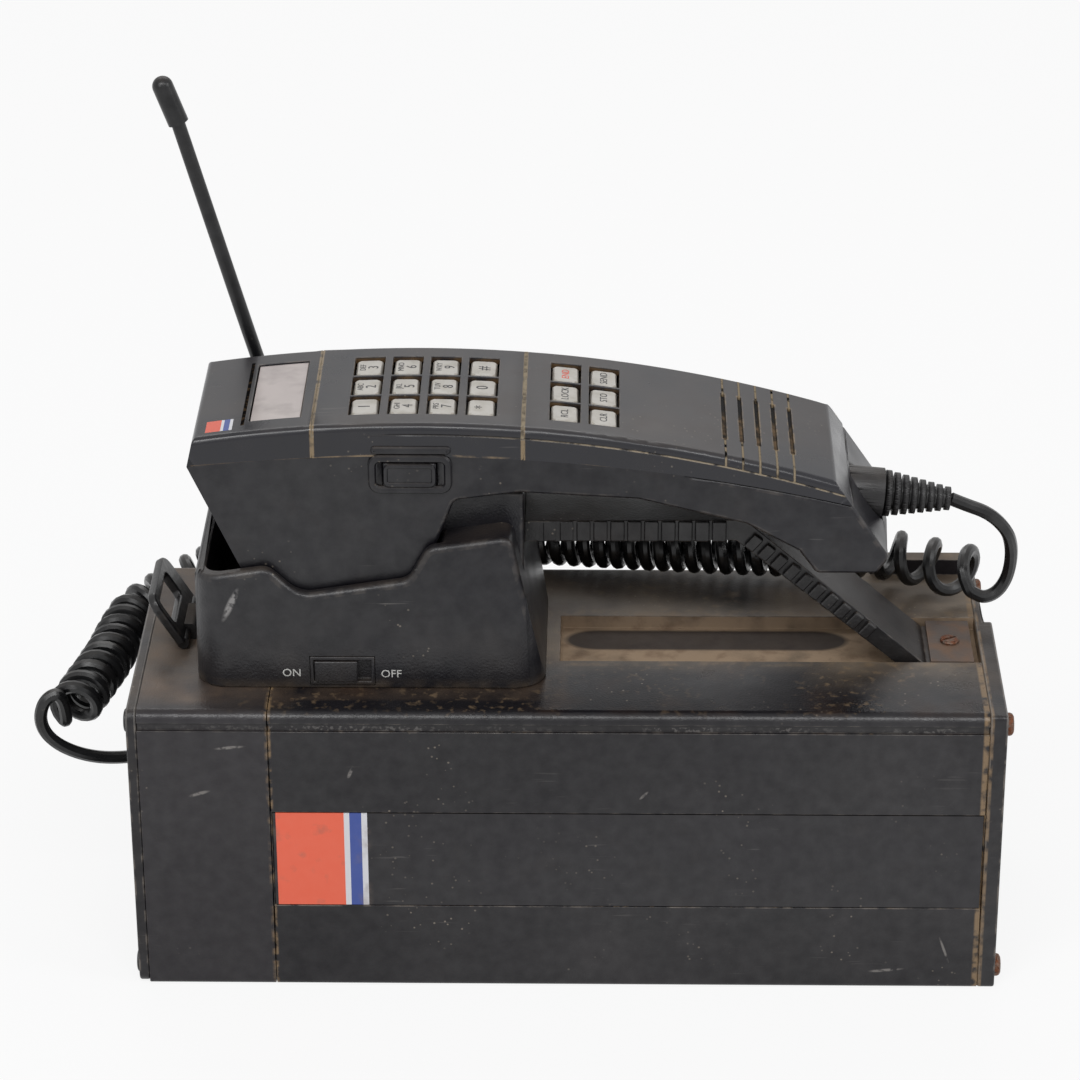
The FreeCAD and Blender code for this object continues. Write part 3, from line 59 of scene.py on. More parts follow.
lens = bpy.data.cameras.new("camera")
lens.sensor_width, lens.lens = 36, 133.23
camera = placed("camera", lens)
camera.matrix_world = (Matrix.Translation((0.0107, -1.0239, 0.6384))
                       @ Matrix.Rotation(radians(1.04), 4, "Z")
                       @ Matrix.Rotation(radians(63.23), 4, "X")
                       @ Matrix.Rotation(radians(-0.24), 4, "Z"))
bpy.context.scene.camera = camera
bpy.context.scene.view_settings.view_transform = "Standard"


# Lights. A long softbox high in front that draws the bright lines on the
# rounded edges, weaker boxes at the left and right and one behind for the top;
# each is aimed at the middle of the casing.
def softbox(name, place, power, width, height):
    lamp = bpy.data.lights.new(name, "AREA")
    lamp.shape, lamp.size, lamp.size_y, lamp.energy = "RECTANGLE", width, height, power
    box = placed(name, lamp)
    box.location = place
    box.rotation_euler = (Vector((0, 0, 0.08)) - box.location).to_track_quat("-Z", "Y").to_euler()


softbox("softbox_left", (-0.9, -1.3, 1.2), 5, 0.8, 0.8)
softbox("softbox_strip", (-0.1, -1.2, 1.75), 18, 2.0, 0.45)
softbox("softbox_right", (1.4, -0.5, 1.0), 6, 0.6, 0.9)
softbox("softbox_behind", (-0.2, 1.2, 1.4), 7, 1.6, 0.6)


# Sweep. A white paper sheet under and behind the telephone. It shows as white
# to the lens and in reflections, and keeps the soft shadow round the base.
def feed(tree, socket, value):
    """Links another node's output to a socket, or sets the socket's own value."""
    if isinstance(value, bpy.types.NodeSocket):
        tree.links.new(value, socket)
    else:
        socket.default_value = value


def shader_node(tree, kind, inputs, **settings):
    """One shader node; its inputs are values or other nodes' outputs."""
    made = tree.nodes.new("ShaderNode" + kind)
    for name, value in settings.items():
        setattr(made, name, value)
    for name, value in inputs.items():
        feed(tree, made.inputs[name], value)
    return made


def paper_white(tree, plain, white, seen, mirrored, surface):
    """The plain shader with some white over it, for rays that show the paper itself."""
    rays = shader_node(tree, "LightPath", {})
    share = 0.0
    for ray, part in (("Is Camera Ray", seen), ("Is Transmission Ray", seen), ("Is Glossy Ray", mirrored)):
        scaled = shader_node(tree, "Math", {0: rays.outputs[ray], 1: part}, operation="MULTIPLY")
        share = shader_node(tree, "Math", {0: share, 1: scaled.outputs[0]}, operation="MAXIMUM").outputs[0]
    mix = shader_node(tree, "MixShader", {0: share, 1: plain.outputs[0], 2: white.outputs[0]})
    tree.links.new(mix.outputs[0], surface.inputs[0])


paper = bpy.data.materials.new("paper")
paper.use_nodes = True
tree = paper.node_tree
tree.nodes.remove(tree.nodes["Principled BSDF"])
matt = shader_node(tree, "BsdfDiffuse", {"Color": (0.9, 0.9, 0.9, 1)})
paper_white(tree, matt, shader_node(tree, "Emission", {}), 0.86, 0.8, tree.nodes["Material Output"])
shape = bmesh.new()
bmesh.ops.create_grid(shape, x_segments=1, y_segments=1, size=3.2)
sweep = placed("sweep", bpy.data.meshes.new("sweep"))
shape.to_mesh(sweep.data)
shape.free()
sweep.data.materials.append(paper)

room = bpy.data.worlds.new("room")
bpy.context.scene.world = room
room.use_nodes = True
tree = room.node_tree
dim = tree.nodes["Background"]
dim.inputs["Color"].default_value = (0.26, 0.26, 0.27, 1)
white = shader_node(tree, "Background", {"Color": (1, 1, 1, 1)})
paper_white(tree, dim, white, 1.0, 0.7, tree.nodes["World Output"])


# Casing. Two sleeves of painted sheet that meet at a seam near the left end,
# with a rolled bead along the top front edge. Black enamel, dusty with age.
def shade(red, green, blue):
    """A colour of 0 to 255 as the linear levels that a socket takes."""
    levels = [v / 255 for v in (red, green, blue)]
    return [v / 12.92 if v < 0.0405 else ((v + 0.055) / 1.055) ** 2.4 for v in levels] + [1]


class Finish:
    """A material built on the part's own coordinates, so that its dust and scratches stay put."""

    def __init__(self, name, colour, roughness, **shine):
        self.material = bpy.data.materials.new(name)
        self.material.use_nodes = True
        self.tree = self.material.node_tree
        self.shader = self.tree.nodes["Principled BSDF"]
        self.place = self.add("TexCoord", "Object")
        self.put("Base Color", shade(*colour))
        self.put("Roughness", roughness)
        for name, value in shine.items():
            self.put(name.replace("_", " "), value)

    def put(self, name, value):
        feed(self.tree, self.shader.inputs[name], value)

    def under(self, name):
        """What feeds a socket of the shader so far."""
        socket = self.shader.inputs[name]
        return socket.links[0].from_socket if socket.is_linked else socket.default_value

    def add(self, kind, out=0, inputs=None, **settings):
        return shader_node(self.tree, kind, inputs or {}, **settings).outputs[out]

    def sum(self, operation, first, second=0.0):
        return self.add("Math", 0, {0: first, 1: second}, operation=operation)

    def times(self, *masks):
        """The product of masks; one given as bare numbers is a cloud of that scale, limits and detail."""
        product, *others = [self.cloud(*m) if isinstance(m, tuple) else m for m in masks]
        for mask in others:
            product = self.sum("MULTIPLY", product, mask)
        return product

    def ramp(self, value, low, high, bottom=0.0, top=1.0):
        return self.add("MapRange", 0,
                        {"Value": value, "From Min": low, "From Max": high, "To Min": bottom, "To Max": top})

    def cloud(self, scale, low=0.4, high=0.6, detail=3.0, stretch=None, turn=(0, 0, 0)):
        """Soft patches, from 0 to 1."""
        place = self.place
        if stretch:
            place = self.add("Mapping", 0, {"Vector": place, "Rotation": turn, "Scale": stretch})
        patches = self.add("TexNoise", 0, {"Vector": place, "Scale": scale, "Detail": detail})
        return self.ramp(patches, low, high)

    def specks(self, scale, size, sparse=0.55):
        """Small round spots in loose drifts."""
        spots = self.add("TexVoronoi", 0, {"Vector": self.place, "Scale": scale})
        return self.times(self.ramp(spots, size, size * 0.6), self.cloud(scale / 12, sparse, sparse + 0.1))

    def scratches(self, turn, length=55.0, fine=900.0, least=0.72):
        """Thin short marks that run one way."""
        marks = self.cloud(1, least, least + 0.04, 1, (length, fine, fine), turn)
        return self.times(marks, (31, 0.56, 0.66))

    def mark(self, x, z, tilt, length, width):
        """1 in a slim patch on a front face, for a scuff."""
        shift = Matrix.Rotation(tilt, 3, "Y") @ Vector((x, 0, z))
        turned = self.add("Mapping", 0, {"Vector": self.place, "Rotation": (0, tilt, 0), "Location": -shift})
        scaled = self.add("Mapping", 0, {"Vector": turned, "Scale": (2 / length, 0, 2 / width)})
        far = self.add("VectorMath", "Value", {0: scaled}, operation="LENGTH")
        return self.times(self.ramp(far, 1, 0.5), (520, 0.4, 0.56, 4), self.fade("Y", -0.024, -0.025))

    def along(self, axis):
        return self.add("SeparateXYZ", axis, {"Vector": self.place})

    def fade(self, axis, start, end, first=0.0, last=1.0):
        """A steady change from start to end along an axis."""
        return self.ramp(self.along(axis), start, end, first, last)

    def between(self, axis, start, end, blur=0.0004):
        """1 from start to end along an axis, in metres."""
        place = self.along(axis)
        return self.times(self.ramp(place, start - blur, start), self.ramp(place, end + blur, end))

    def upward(self, low=0.6, high=0.98):
        """1 where the surface faces up."""
        normal = self.add("TexCoord", "Normal")
        return self.ramp(self.add("SeparateXYZ", "Z", {"Vector": normal}), low, high)

    def edges(self):
        """1 on the broken edges of a moulded or folded piece."""
        return self.add("Attribute", "Fac", attribute_name="edge")

    def paint(self, colour, strength, *masks):
        """Lays a colour over the finish where all the masks are."""
        share = self.sum("MULTIPLY", self.times(*masks), strength)
        self.put("Base Color",
                 self.add("Mix", 2, {0: share, 6: self.under("Base Color"), 7: shade(*colour)},
                          data_type="RGBA"))

    def dull(self, roughness, mask):
        """Makes the finish duller, or glossier, where the mask is."""
        self.put("Roughness", self.add("Mix", 0, {0: mask, 2: self.under("Roughness"), 3: roughness}))

    def shadow(self, mask):
        """Blackens a narrow slot or groove, and takes its shine away."""
        self.paint((9, 8, 8), 1.0, mask)
        self.dull(0.95, mask)
        self.put("Specular IOR Level", self.ramp(mask, 0, 1, 0.5, 0.02))

    def emboss(self, height, depth, strength=1.0):
        """Raises or sinks the surface by a height pattern, depth in metres."""
        inputs = {"Height": height, "Distance": depth, "Strength": strength}
        if self.shader.inputs["Normal"].is_linked:
            inputs["Normal"] = self.under("Normal")
        self.put("Normal", self.add("Bump", 0, inputs))


def aged_black(name, colour, roughness, dust=0.5, dust_colour=(104, 90, 76), grain=0.00003, rub=0.5,
               specks=0.5, scratches=0.5):
    """Black paint, plastic or rubber after years of use: dust on top, rubbed edges, specks and scratches."""
    finish = Finish(name, colour, roughness)
    finish.paint([c * 0.72 for c in colour], 0.6, (22, 0.35, 0.7, 5))
    settled = finish.times(finish.upward(), (34, 0.36, 0.72, 8))
    finish.paint(dust_colour, dust, settled)
    finish.paint(dust_colour, 0.16 * dust, (90, 0.55, 0.8, 6))
    finish.paint((150, 140, 126), specks, finish.specks(420, 0.16))
    for turn in ((0.2, 0.7, 0.5), (1.1, -0.5, 1.9), (0.4, 1.2, 2.6)):
        finish.paint((140, 136, 132), 0.35 * scratches, finish.scratches(turn))
    finish.paint((126, 116, 106), rub, finish.edges(), (240, 0.46, 0.62, 4))
    finish.dull(min(roughness + 0.3, 0.95), settled)
    finish.dull(min(roughness + 0.12, 0.9), finish.cloud(60, 0.4, 0.7, 6))
    mottle = finish.sum("ADD", finish.cloud(10, 0.3, 0.7, 7), finish.cloud(240, 0.3, 0.7, 3))
    finish.put("Specular IOR Level", finish.ramp(mottle, 0, 2, 0.34, 0.66))
    finish.emboss(finish.cloud(1500, 0.3, 0.7, 2), grain)
    finish.emboss(finish.cloud(18, 0.2, 0.8, 1), 0.0004, 0.25)
    return finish


def cleaned(nodes):
    """CAD nodes as one welded mesh."""
    shape = bmesh.new()
    for node in nodes:
        shape.from_mesh(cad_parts[node].data)
    bmesh.ops.remove_doubles(shape, verts=shape.verts, dist=0.000002)
    return shape


def rounded(shape, edges, radius, segments, clamp=False):
    """Rounds edges and gives back the new faces."""
    return bmesh.ops.bevel(shape, geom=edges, offset=radius, offset_type="OFFSET", affect="EDGES",
                           segments=segments, profile=0.5, material=-1, clamp_overlap=clamp)["faces"]


def broken_edges(shape, radius, pick=None, segments=2, angle=32):
    """Rounds the sharp edges, or the picked ones, and marks the new faces for the rubbed paint."""
    marks = shape.faces.layers.float.get("edge") or shape.faces.layers.float.new("edge")
    sharp = [e for e in shape.edges if e.is_manifold and e.calc_face_angle() > radians(angle)
             and (pick is None or pick(e))]
    for face in rounded(shape, sharp, radius, segments):
        face[marks] = 1.0


def finished(name, shape, finish, body, nodes=(), smooth=32):
    """The piece itself: its mesh, shading, material, body and the CAD nodes that it stands for."""
    mesh = bpy.data.meshes.new(name)
    shape.to_mesh(mesh)
    shape.free()
    mesh.shade_smooth()
    mesh.set_sharp_from_angle(angle=radians(smooth))
    mesh.materials.append(finish.material)
    piece = placed(name, mesh)
    even = piece.modifiers.new("even_shading", "WEIGHTED_NORMAL")
    even.keep_sharp = True
    if body:
        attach(piece, body)
    if nodes:
        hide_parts(*nodes)
    return piece


def dressed(name, node, finish, body, slot, radius=None, pick=None, **how):
    """A CAD piece with its edges broken, where a radius is given, and its finish on."""
    shape = cleaned([node])
    if radius:
        broken_edges(shape, radius, pick, **how)
    finished(name, shape, finish, body, [node])


coat = aged_black("casing_enamel", (23, 21, 25), 0.32, dust=0.0, specks=0.6)
coat.paint((62, 59, 60), 0.35, (9, 0.45, 0.7, 6), (60, 0.3, 0.7, 6))
level = coat.upward()
back = coat.fade("Y", -0.022, -0.006)
left = coat.fade("X", -0.076, -0.094)
stained = coat.times(coat.fade("X", 0.066, 0.082), coat.fade("Y", -0.034, -0.02))
at_rear = coat.times(back, coat.fade("X", 0.2, -0.05, 0.45))
at_left = coat.times(left, coat.fade("Y", -0.046, -0.026, 0.12, 0.9))
dusty = coat.sum("MAXIMUM", coat.sum("MAXIMUM", at_rear, at_left), stained)
dusty_top = coat.times(level, dusty, (26, 0.28, 0.66, 9))
coat.paint((147, 132, 114), 0.85, dusty_top)
round_foot = coat.times(
    coat.between("X", -0.1095, -0.001, 0.002), coat.between("Y", -0.0365, 0.0365, 0.002), level)
coat.paint((98, 82, 68), 0.55, round_foot, (110, 0.32, 0.78, 9))
by_trough = coat.times(coat.between("X", -0.002, 0.119, 0.002), coat.between("Y", -0.016, 0.0165, 0.0015),
                       level)
coat.paint((128, 108, 84), 0.6, by_trough, (190, 0.46, 0.7, 9))
coat.paint((128, 108, 84), 0.6, level, (420, 0.56, 0.7, 5), (22, 0.44, 0.58))
coat.paint((64, 48, 38), 0.5, level, (48, 0.52, 0.72, 8))
coat.paint((146, 124, 96), 0.45, level, dusty, (150, 0.6, 0.78, 8))
coat.paint((152, 124, 96), 0.6, level, left, coat.fade("Y", -0.042, -0.038), (70, 0.42, 0.68, 10))
coat.dull(0.7, dusty_top)
coat.dull(0.24, coat.times(level, coat.fade("Y", -0.014, -0.02), (60, 0.7, 0.35, 8)))
coat.dull(0.3, coat.between("Z", 0.0864, 0.0898, 0.0003))
coat.put("Specular IOR Level",
         coat.times(coat.under("Specular IOR Level"), coat.ramp(level, 0, 1, 1, 0.62),
                    coat.fade("Z", 0, 0.045, 0.78)))
for seam, width, least in ((-0.0847, 0.0012, 0.44), (0.1176, 0.0016, 0.36)):
    coat.paint((140, 116, 86), 0.8, coat.between("X", seam, seam + width, 0.0005),
               coat.cloud(330, least, least + 0.16, 6))
bead_wear = coat.times(coat.between("Z", 0.0845, 0.0856, 0.0003), coat.fade("Y", -0.0435, -0.0445),
                       (900, 0.52, 0.62, 3), (60, 0.4, 0.6))
coat.paint((150, 146, 142), 0.6, bead_wear)
# Painted light: the whole left sleeve is painted lighter, standing in for the brighter light that falls on
# it from the left.
coat.paint((46, 43, 46), 0.55, coat.fade("X", -0.0842, -0.0846))
for x, z, tilt, length, width in (
        (-0.104, 0.064, 0.3, 0.007, 0.0014), (-0.061, 0.071, 1.2, 0.005, 0.0012),
        (0.109, 0.013, 1.9, 0.01, 0.0009), (-0.095, 0.079, 0.1, 0.01, 0.0012),
        (0.092, 0.006, 0.1, 0.012, 0.0012), (0.022, 0.064, 0.8, 0.004, 0.001)):
    coat.paint((128, 124, 120), 0.8, coat.mark(x, z, tilt, length, width))
coat.paint((28, 25, 26), 0.5, coat.between("Z", 0.0841, 0.0864, 0.0004))
trough = coat.times(coat.between("X", -0.004, 0.1195, 0.001), coat.between("Y", -0.0142, 0.0142, 0.0003),
                    coat.fade("Z", 0.08995, 0.0897))
coat.paint((160, 138, 114), 0.92, trough, (80, 0.1, 0.5, 8))
coat.paint((92, 68, 50), 0.6, trough, (200, 0.5, 0.74, 8))
coat.dull(0.85, trough)
from_middle = coat.sum("ABSOLUTE", coat.sum("SUBTRACT", coat.along("X"), 0.0405))
beyond = coat.times(coat.sum("MAXIMUM", coat.sum("SUBTRACT", from_middle, 0.031), 0), 95)
aside = coat.times(coat.sum("SUBTRACT", coat.along("Y"), 0.0062), 160)
oval = coat.add("CombineXYZ", 0, {"X": beyond, "Y": aside})
oval = coat.add("VectorMath", "Value", {0: oval}, operation="LENGTH")
floor_level = coat.fade("Z", 0.0868, 0.0864)
coat.paint((46, 41, 40), 0.92, trough, floor_level, coat.ramp(oval, 1.05, 0.85))
dressed("left_sleeve", "left_housing", coat, "casing", "casing_paint", 0.00025)
dressed("main_sleeve", "main_housing", coat, "casing", "casing_paint", 0.00025)


# End caps. Moulded plates that close the sleeves; the right one carries a
# raised plate. Each is held by screws in round seats at its corners.
cap_black = aged_black("cap_plastic", (24, 22, 25), 0.36, grain=0.00004)
cap_black.paint((132, 110, 84), 0.8, cap_black.between("X", 0.1186, 0.1199, 0.0004), (260, 0.35, 0.55, 6))
# The caps' top edges are painted lighter: partly rubbed wear, partly a painted highlight along the rounded
# edge.
cap_black.paint((126, 122, 118), 0.45, cap_black.edges(), cap_black.fade("Z", 0.08, 0.088))
for name, node in (("left_cap", "left_end_cap"), ("right_cap", "right_end_cap")):
    shape = cleaned([node])
    broken_edges(shape, 0.0006, segments=3)
    for point in shape.verts:
        point.co.z = max(point.co.z, 0.0)  # the bottom stays flat
    finished(name, shape, cap_black, "casing", [node])


# Front label. A thin plastic strip let into the front, with a printed corner
# of plain bars.
film = aged_black("label_film", (29, 27, 31), 0.36, dust=0.2, grain=0.00001, rub=0.0, specks=0.3)


def bars(finish, axis, steps, *masks):
    """Plain printed bars along an axis: each step is where a colour starts, in metres."""
    for (start, colour), (end, _) in zip(steps, steps[1:]):
        finish.paint(colour, 0.97, finish.between(axis, start, end, 0.00005), *masks)


def refinished(node, finish):
    """A CAD piece whose shape is right gets its finish."""
    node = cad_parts[node]
    node.data.materials.clear()
    node.data.materials.append(finish.material)


label_white, label_blue = (222, 222, 226), (66, 86, 158)
bars(film, "X",
     [(-0.0826, (240, 108, 80)), (-0.0632, label_white), (-0.0616, label_blue), (-0.0582, label_white),
      (-0.0566, None)])
film.paint((120, 104, 92), 0.35, (150, 0.56, 0.7, 6), film.fade("X", -0.055, -0.057))
refinished("front_label", film)


# Screws. Slotted pan heads in plated steel, long enough to reach the bosses;
# those in the open have rusted.
rusty = Finish("rusty_steel", (116, 104, 94), 0.5, Metallic=0.7)
rusty.paint((112, 62, 34), 0.9, (700, 0.35, 0.6, 5))
rusty.paint((62, 40, 30), 0.8, (1500, 0.5, 0.7, 4))
rusty.emboss(rusty.cloud(2500, 0.3, 0.7, 4), 0.0001)


def pan_head_screw(head_radius, head_height, shank_radius, length, slot_width=0.0008):
    """A screw with its head's underside at the origin and its shank along -Z."""
    screw = bmesh.new()
    outline = [(0.0, -length), (shank_radius * 0.5, -length), (shank_radius, -length + shank_radius),
               (shank_radius, 0.0), (head_radius, 0.0), (head_radius, head_height * 0.45),
               (head_radius * 0.93, head_height * 0.75), (head_radius * 0.74, head_height * 0.95),
               (head_radius * 0.45, head_height)]
    line = [screw.verts.new((r, 0, z)) for r, z in outline]
    edges = [screw.edges.new(pair) for pair in zip(line, line[1:])]
    bmesh.ops.spin(screw, geom=line + edges, cent=(0, 0, 0), axis=(0, 0, 1), angle=2 * pi, steps=28,
                   use_merge=True)
    bmesh.ops.remove_doubles(screw, verts=screw.verts, dist=0.00001)
    rim = [e for e in screw.edges if e.is_boundary]
    top = bmesh.ops.contextual_create(screw, geom=rim)["faces"]
    for side in (-1, 1):
        whole = screw.verts[:] + screw.edges[:] + screw.faces[:]
        near = [g for g in whole if isinstance(g, bmesh.types.BMFace)
                and g.calc_center_median().z > head_height * 0.9]
        near += list({e for f in near for e in f.edges}) + list({v for f in near for v in f.verts})
        bmesh.ops.bisect_plane(screw, geom=near, plane_co=(0, side * slot_width / 2, 0), plane_no=(0, 1, 0))
    floor = [f for f in screw.faces if abs(f.calc_center_median().y) < slot_width / 2
             and f.calc_center_median().z > head_height * 0.9]
    sunk = bmesh.ops.extrude_face_region(screw, geom=floor)["geom"]
    bmesh.ops.delete(screw, geom=[f for f in floor if f.is_valid], context="FACES_ONLY")
    bmesh.ops.translate(screw, verts=[g for g in sunk if isinstance(g, bmesh.types.BMVert)],
                        vec=(0, 0, -head_height * 0.45))
    bmesh.ops.recalc_face_normals(screw, faces=screw.faces)
    return screw


def joined(shape, part, places):
    """Adds a part to a shape, once at each place."""
    mould = bpy.data.meshes.new("mould")
    part.to_mesh(mould)
    part.free()
    for place in places:
        before = set(shape.verts)
        shape.from_mesh(mould)
        bmesh.ops.transform(shape, matrix=place, verts=[v for v in shape.verts if v not in before])
    bpy.data.meshes.remove(mould)


def set_screws(name, kinds, finish, nodes):
    """Several screws as one piece; each kind is its shape and where it goes."""
    tray = bmesh.new()
    for screw, places in kinds:
        joined(tray, screw, places)
    finished(name, tray, finish, "casing", nodes)


def facing(point, direction, turn=0.0):
    """A place whose own Z points in the given direction, turned about it."""
    return (Matrix.Translation(point) @ Vector(direction).to_track_quat("Z", "Y").to_matrix().to_4x4()
            @ Matrix.Rotation(turn, 4, "Z"))


left_places, right_places = [], []
for z in (0.005, 0.085):
    left_places += [facing((-0.124, -0.041, z), (-1, 0, 0), 0.4 + 9 * z),
                    facing((-0.124, 0.041, z), (-1, 0, 0), 1.3)]
    right_places += [facing((0.124, -0.041, z), (1, 0, 0), 0.9 - 20 * z),
                     facing((0.1214, 0.041, z), (1, 0, 0), 0.2)]
blacked = aged_black("blacked_steel", (30, 29, 30), 0.35, dust=0.3)
set_screws("left_cap_screws", [(pan_head_screw(0.0033, 0.0009, 0.0015, 0.0114), left_places)], blacked, [])
set_screws("cap_screws", [(pan_head_screw(0.0033, 0.002, 0.0015, 0.0114), right_places)], rusty,
           ["end_cap_screws"])
deck_places = [facing((x, y, 0.0875), (0, 0, -1)) for x in (-0.0739, -0.0279) for y in (-0.023, 0.023)]
set_screws("deck_screws",
           [(pan_head_screw(0.0033, 0.002, 0.0015, 0.009), deck_places),
            (pan_head_screw(0.0028, 0.001, 0.0015, 0.008), [facing((0.1108, 0, 0.0895), (0, 0, 1), 0.5)])],
           rusty, ["cradle_and_handle_screws"])


# Cradle. One deep moulding that holds the handset's head; its rim dips at the
# front, and a block inside it carries the end of the handle. Fine grain.
moulding = aged_black("cradle_plastic", (22, 21, 26), 0.3, dust=0.3, grain=0.00004, rub=0.12)
moulding.paint((112, 96, 78), 0.6, moulding.fade("Z", 0.0935, 0.0896), (160, 0.35, 0.7, 6))
moulding.paint((150, 148, 146), 0.8, moulding.mark(-0.0945, 0.1165, 1.15, 0.0125, 0.0024))
moulding.paint((66, 62, 60), 0.45, moulding.fade("Z", 0.118, 0.094), (70, 0.35, 0.75, 7))


def prism(outline, half_width):
    """A solid from an outline of X, Z and corner radius; it runs half_width each way in Y."""
    line = []
    for i, (x, z, radius) in enumerate(outline):
        here = Vector((x, z))
        before = Vector(outline[i - 1][:2]) - here
        after = Vector(outline[(i + 1) % len(outline)][:2]) - here
        if radius == 0:
            line.append(here)
            continue
        back_off = min(radius / tan(before.angle(after) / 2), before.length * 0.49, after.length * 0.49)
        first, last = here + before.normalized() * back_off, here + after.normalized() * back_off
        for step in range(9):
            t = step / 8
            line.append(first.lerp(here, t).lerp(here.lerp(last, t), t))
    solid = bmesh.new()
    ends = [[solid.verts.new((p.x, side * half_width, p.y)) for p in line] for side in (-1, 1)]
    solid.faces.new(ends[0])
    solid.faces.new(ends[1][::-1])
    for i in range(len(line)):
        j = (i + 1) % len(line)
        solid.faces.new((ends[0][j], ends[0][i], ends[1][i], ends[1][j]))
    bmesh.ops.recalc_face_normals(solid, faces=solid.faces)
    return solid


def block(low, high):
    solid = bmesh.new()
    middle, size = (Vector(low) + Vector(high)) / 2, Vector(high) - Vector(low)
    bmesh.ops.create_cube(solid, size=1.0, matrix=Matrix.Translation(middle) @ Matrix.Diagonal((*size, 1)))
    return solid


def rounded_block(low, high, axis, radius, segments, pick=lambda corner: True):
    """A block whose edges along an axis, or the picked ones of them, are rounded."""
    solid = block(low, high)
    corners = [e for e in solid.edges if abs(e.verts[0].co[axis] - e.verts[1].co[axis]) > 0.001
               and pick(e.verts[0].co)]
    rounded(solid, corners, radius, segments)
    return solid


def worked(base, steps):
    """The base solid after its unions and cuts, as a new bmesh."""
    holders = []
    for solid in [base] + [tool for _, tool in steps]:
        mesh = bpy.data.meshes.new("solid")
        solid.to_mesh(mesh)
        solid.free()
        holders.append(placed("solid", mesh))
    for (kind, _), tool in zip(steps, holders[1:]):
        cut = holders[0].modifiers.new("cut", "BOOLEAN")
        cut.operation, cut.object, cut.solver = kind, tool, "EXACT"
    result = bmesh.new()
    carved = holders[0].evaluated_get(bpy.context.evaluated_depsgraph_get())
    result.from_mesh(bpy.data.meshes.new_from_object(carved))
    for holder in holders:
        bpy.data.objects.remove(holder)
    bmesh.ops.remove_doubles(result, verts=result.verts, dist=0.00001)
    return result


shell_side = prism(
    [(-0.1053, 0.09, 0), (-0.0059, 0.09, 0), (-0.0152, 0.1379, 0.004), (-0.0389, 0.1344, 0.005),
     (-0.0444, 0.1242, 0.005), (-0.0751, 0.1193, 0.009), (-0.0838, 0.1278, 0.005), (-0.1047, 0.1246, 0.002)],
    0.033)
plan = rounded_block((-0.1053, -0.031, 0.089), (-0.0059, 0.031, 0.15), 2, 0.009, 12)
well_plan = rounded_block(
    (-0.1016, -0.0273, 0.095), (-0.02, 0.0273, 0.21), 2, 0.0055, 8, lambda corner: corner.x < -0.1)
cavity = worked(prism([(-0.11, 0.1, 0), (-0.0478, 0.1, 0), (-0.0291, 0.1498, 0), (-0.0291, 0.2, 0),
                       (-0.11, 0.2, 0)], 0.03), [("INTERSECT", well_plan)])
switch_bed = block((-0.0727, -0.033, 0.0912), (-0.0541, -0.0286, 0.1004))
shape = worked(shell_side, [("INTERSECT", plan), ("DIFFERENCE", cavity), ("DIFFERENCE", switch_bed)])


def on_rim(edge, inside):
    """Whether an edge belongs to the rim, round the well or on the outside."""
    rim_low, well_half, well_left, well_right = 0.1175, 0.0275, -0.1018, -0.028
    return all(v.co.z > rim_low and (abs(v.co.y) < well_half and well_left < v.co.x < well_right) == inside
               for v in edge.verts)


broken_edges(shape, 0.0018, lambda e: on_rim(e, False), segments=5, angle=28)
broken_edges(shape, 0.0009, lambda e: on_rim(e, True), segments=3, angle=28)
broken_edges(shape, 0.0008, lambda e: max(v.co.z for v in e.verts) < 0.0905, angle=50)
bmesh.ops.create_cone(shape, cap_ends=True, segments=48, radius1=0.013, radius2=0.013, depth=0.0087,
                      matrix=Matrix.Translation((-0.06465, 0, 0.10335)))
saddle = block((-0.0363, -0.02, 0.0995), (-0.012, 0.02, 0.1468))
broken_edges(saddle, 0.0012, segments=3)
joined(shape, saddle, [Matrix()])
finished("cradle_body", shape, moulding, "casing", ["cradle"])

print_white = Finish("print_white", (206, 206, 202), 0.55)
print_white.paint((120, 116, 108), 0.6, (900, 0.5, 0.75, 4))


def lettering(words, place):
    """Words as raised ink: each is its text, size and middle, on a place whose X runs with the text."""
    shape = bmesh.new()
    for text, size, across, up in words:
        letters = bpy.data.curves.new("letters", "FONT")
        letters.body, letters.size, letters.extrude = text, size, 0.00004
        letters.align_x, letters.align_y, letters.resolution_u = "CENTER", "CENTER", 3
        holder = bpy.data.objects.new("letters", letters)
        flat = bpy.data.meshes.new_from_object(holder)
        flat.transform(place @ Matrix.Translation((across, up, 0)))
        shape.from_mesh(flat)
        bpy.data.objects.remove(holder)
        bpy.data.curves.remove(letters)
        bpy.data.meshes.remove(flat)
    return shape


upright = Matrix.Translation((-0.0778, -0.031, 0.0949)) @ Matrix.Rotation(pi / 2, 4, "X")
switch_words = lettering([("ON", 0.0034, 0, 0), ("OFF", 0.0034, 0.0282, -0.0002)], upright)
finished("switch_words", switch_words, print_white, "casing")


# Power switch. A small slider with a finger ridge in a black frame, low on
# the cradle's front.
dressed("switch_surround", "switch_frame", moulding, "casing", "cradle_moulding", 0.00025)
dressed("switch_thumb", "switch_slider", moulding, "switch_slider", "cradle_moulding", 0.00025)


# Handle. A rubber strap with square blocks along both sides, screwed to a
# steel plate at its right end and held by the cradle at the other.
strap_rubber = aged_black(
    "strap_rubber", (24, 22, 23), 0.36, dust_colour=(84, 70, 60), grain=0.00004, rub=0.3)
strap_start, strap_bend, strap_low, strap_high = -0.0118, 0.048, 0.128, 0.1345
block_pitch, block_length, block_depth, strap_half = 0.0048, 0.0041, 0.0013, 0.0135
shape = cleaned(["carrying_handle"])
for side in (-1, 1):
    for vert in shape.verts:
        if vert.co.x > strap_start - 0.0001 and vert.co.y * side > strap_half - 0.0001:
            vert.co.y = side * (strap_half - block_depth)
broken_edges(shape, 0.0003)
slope = atan2(-0.042, 0.0497)
along_slope = Vector((cos(slope), 0, sin(slope)))


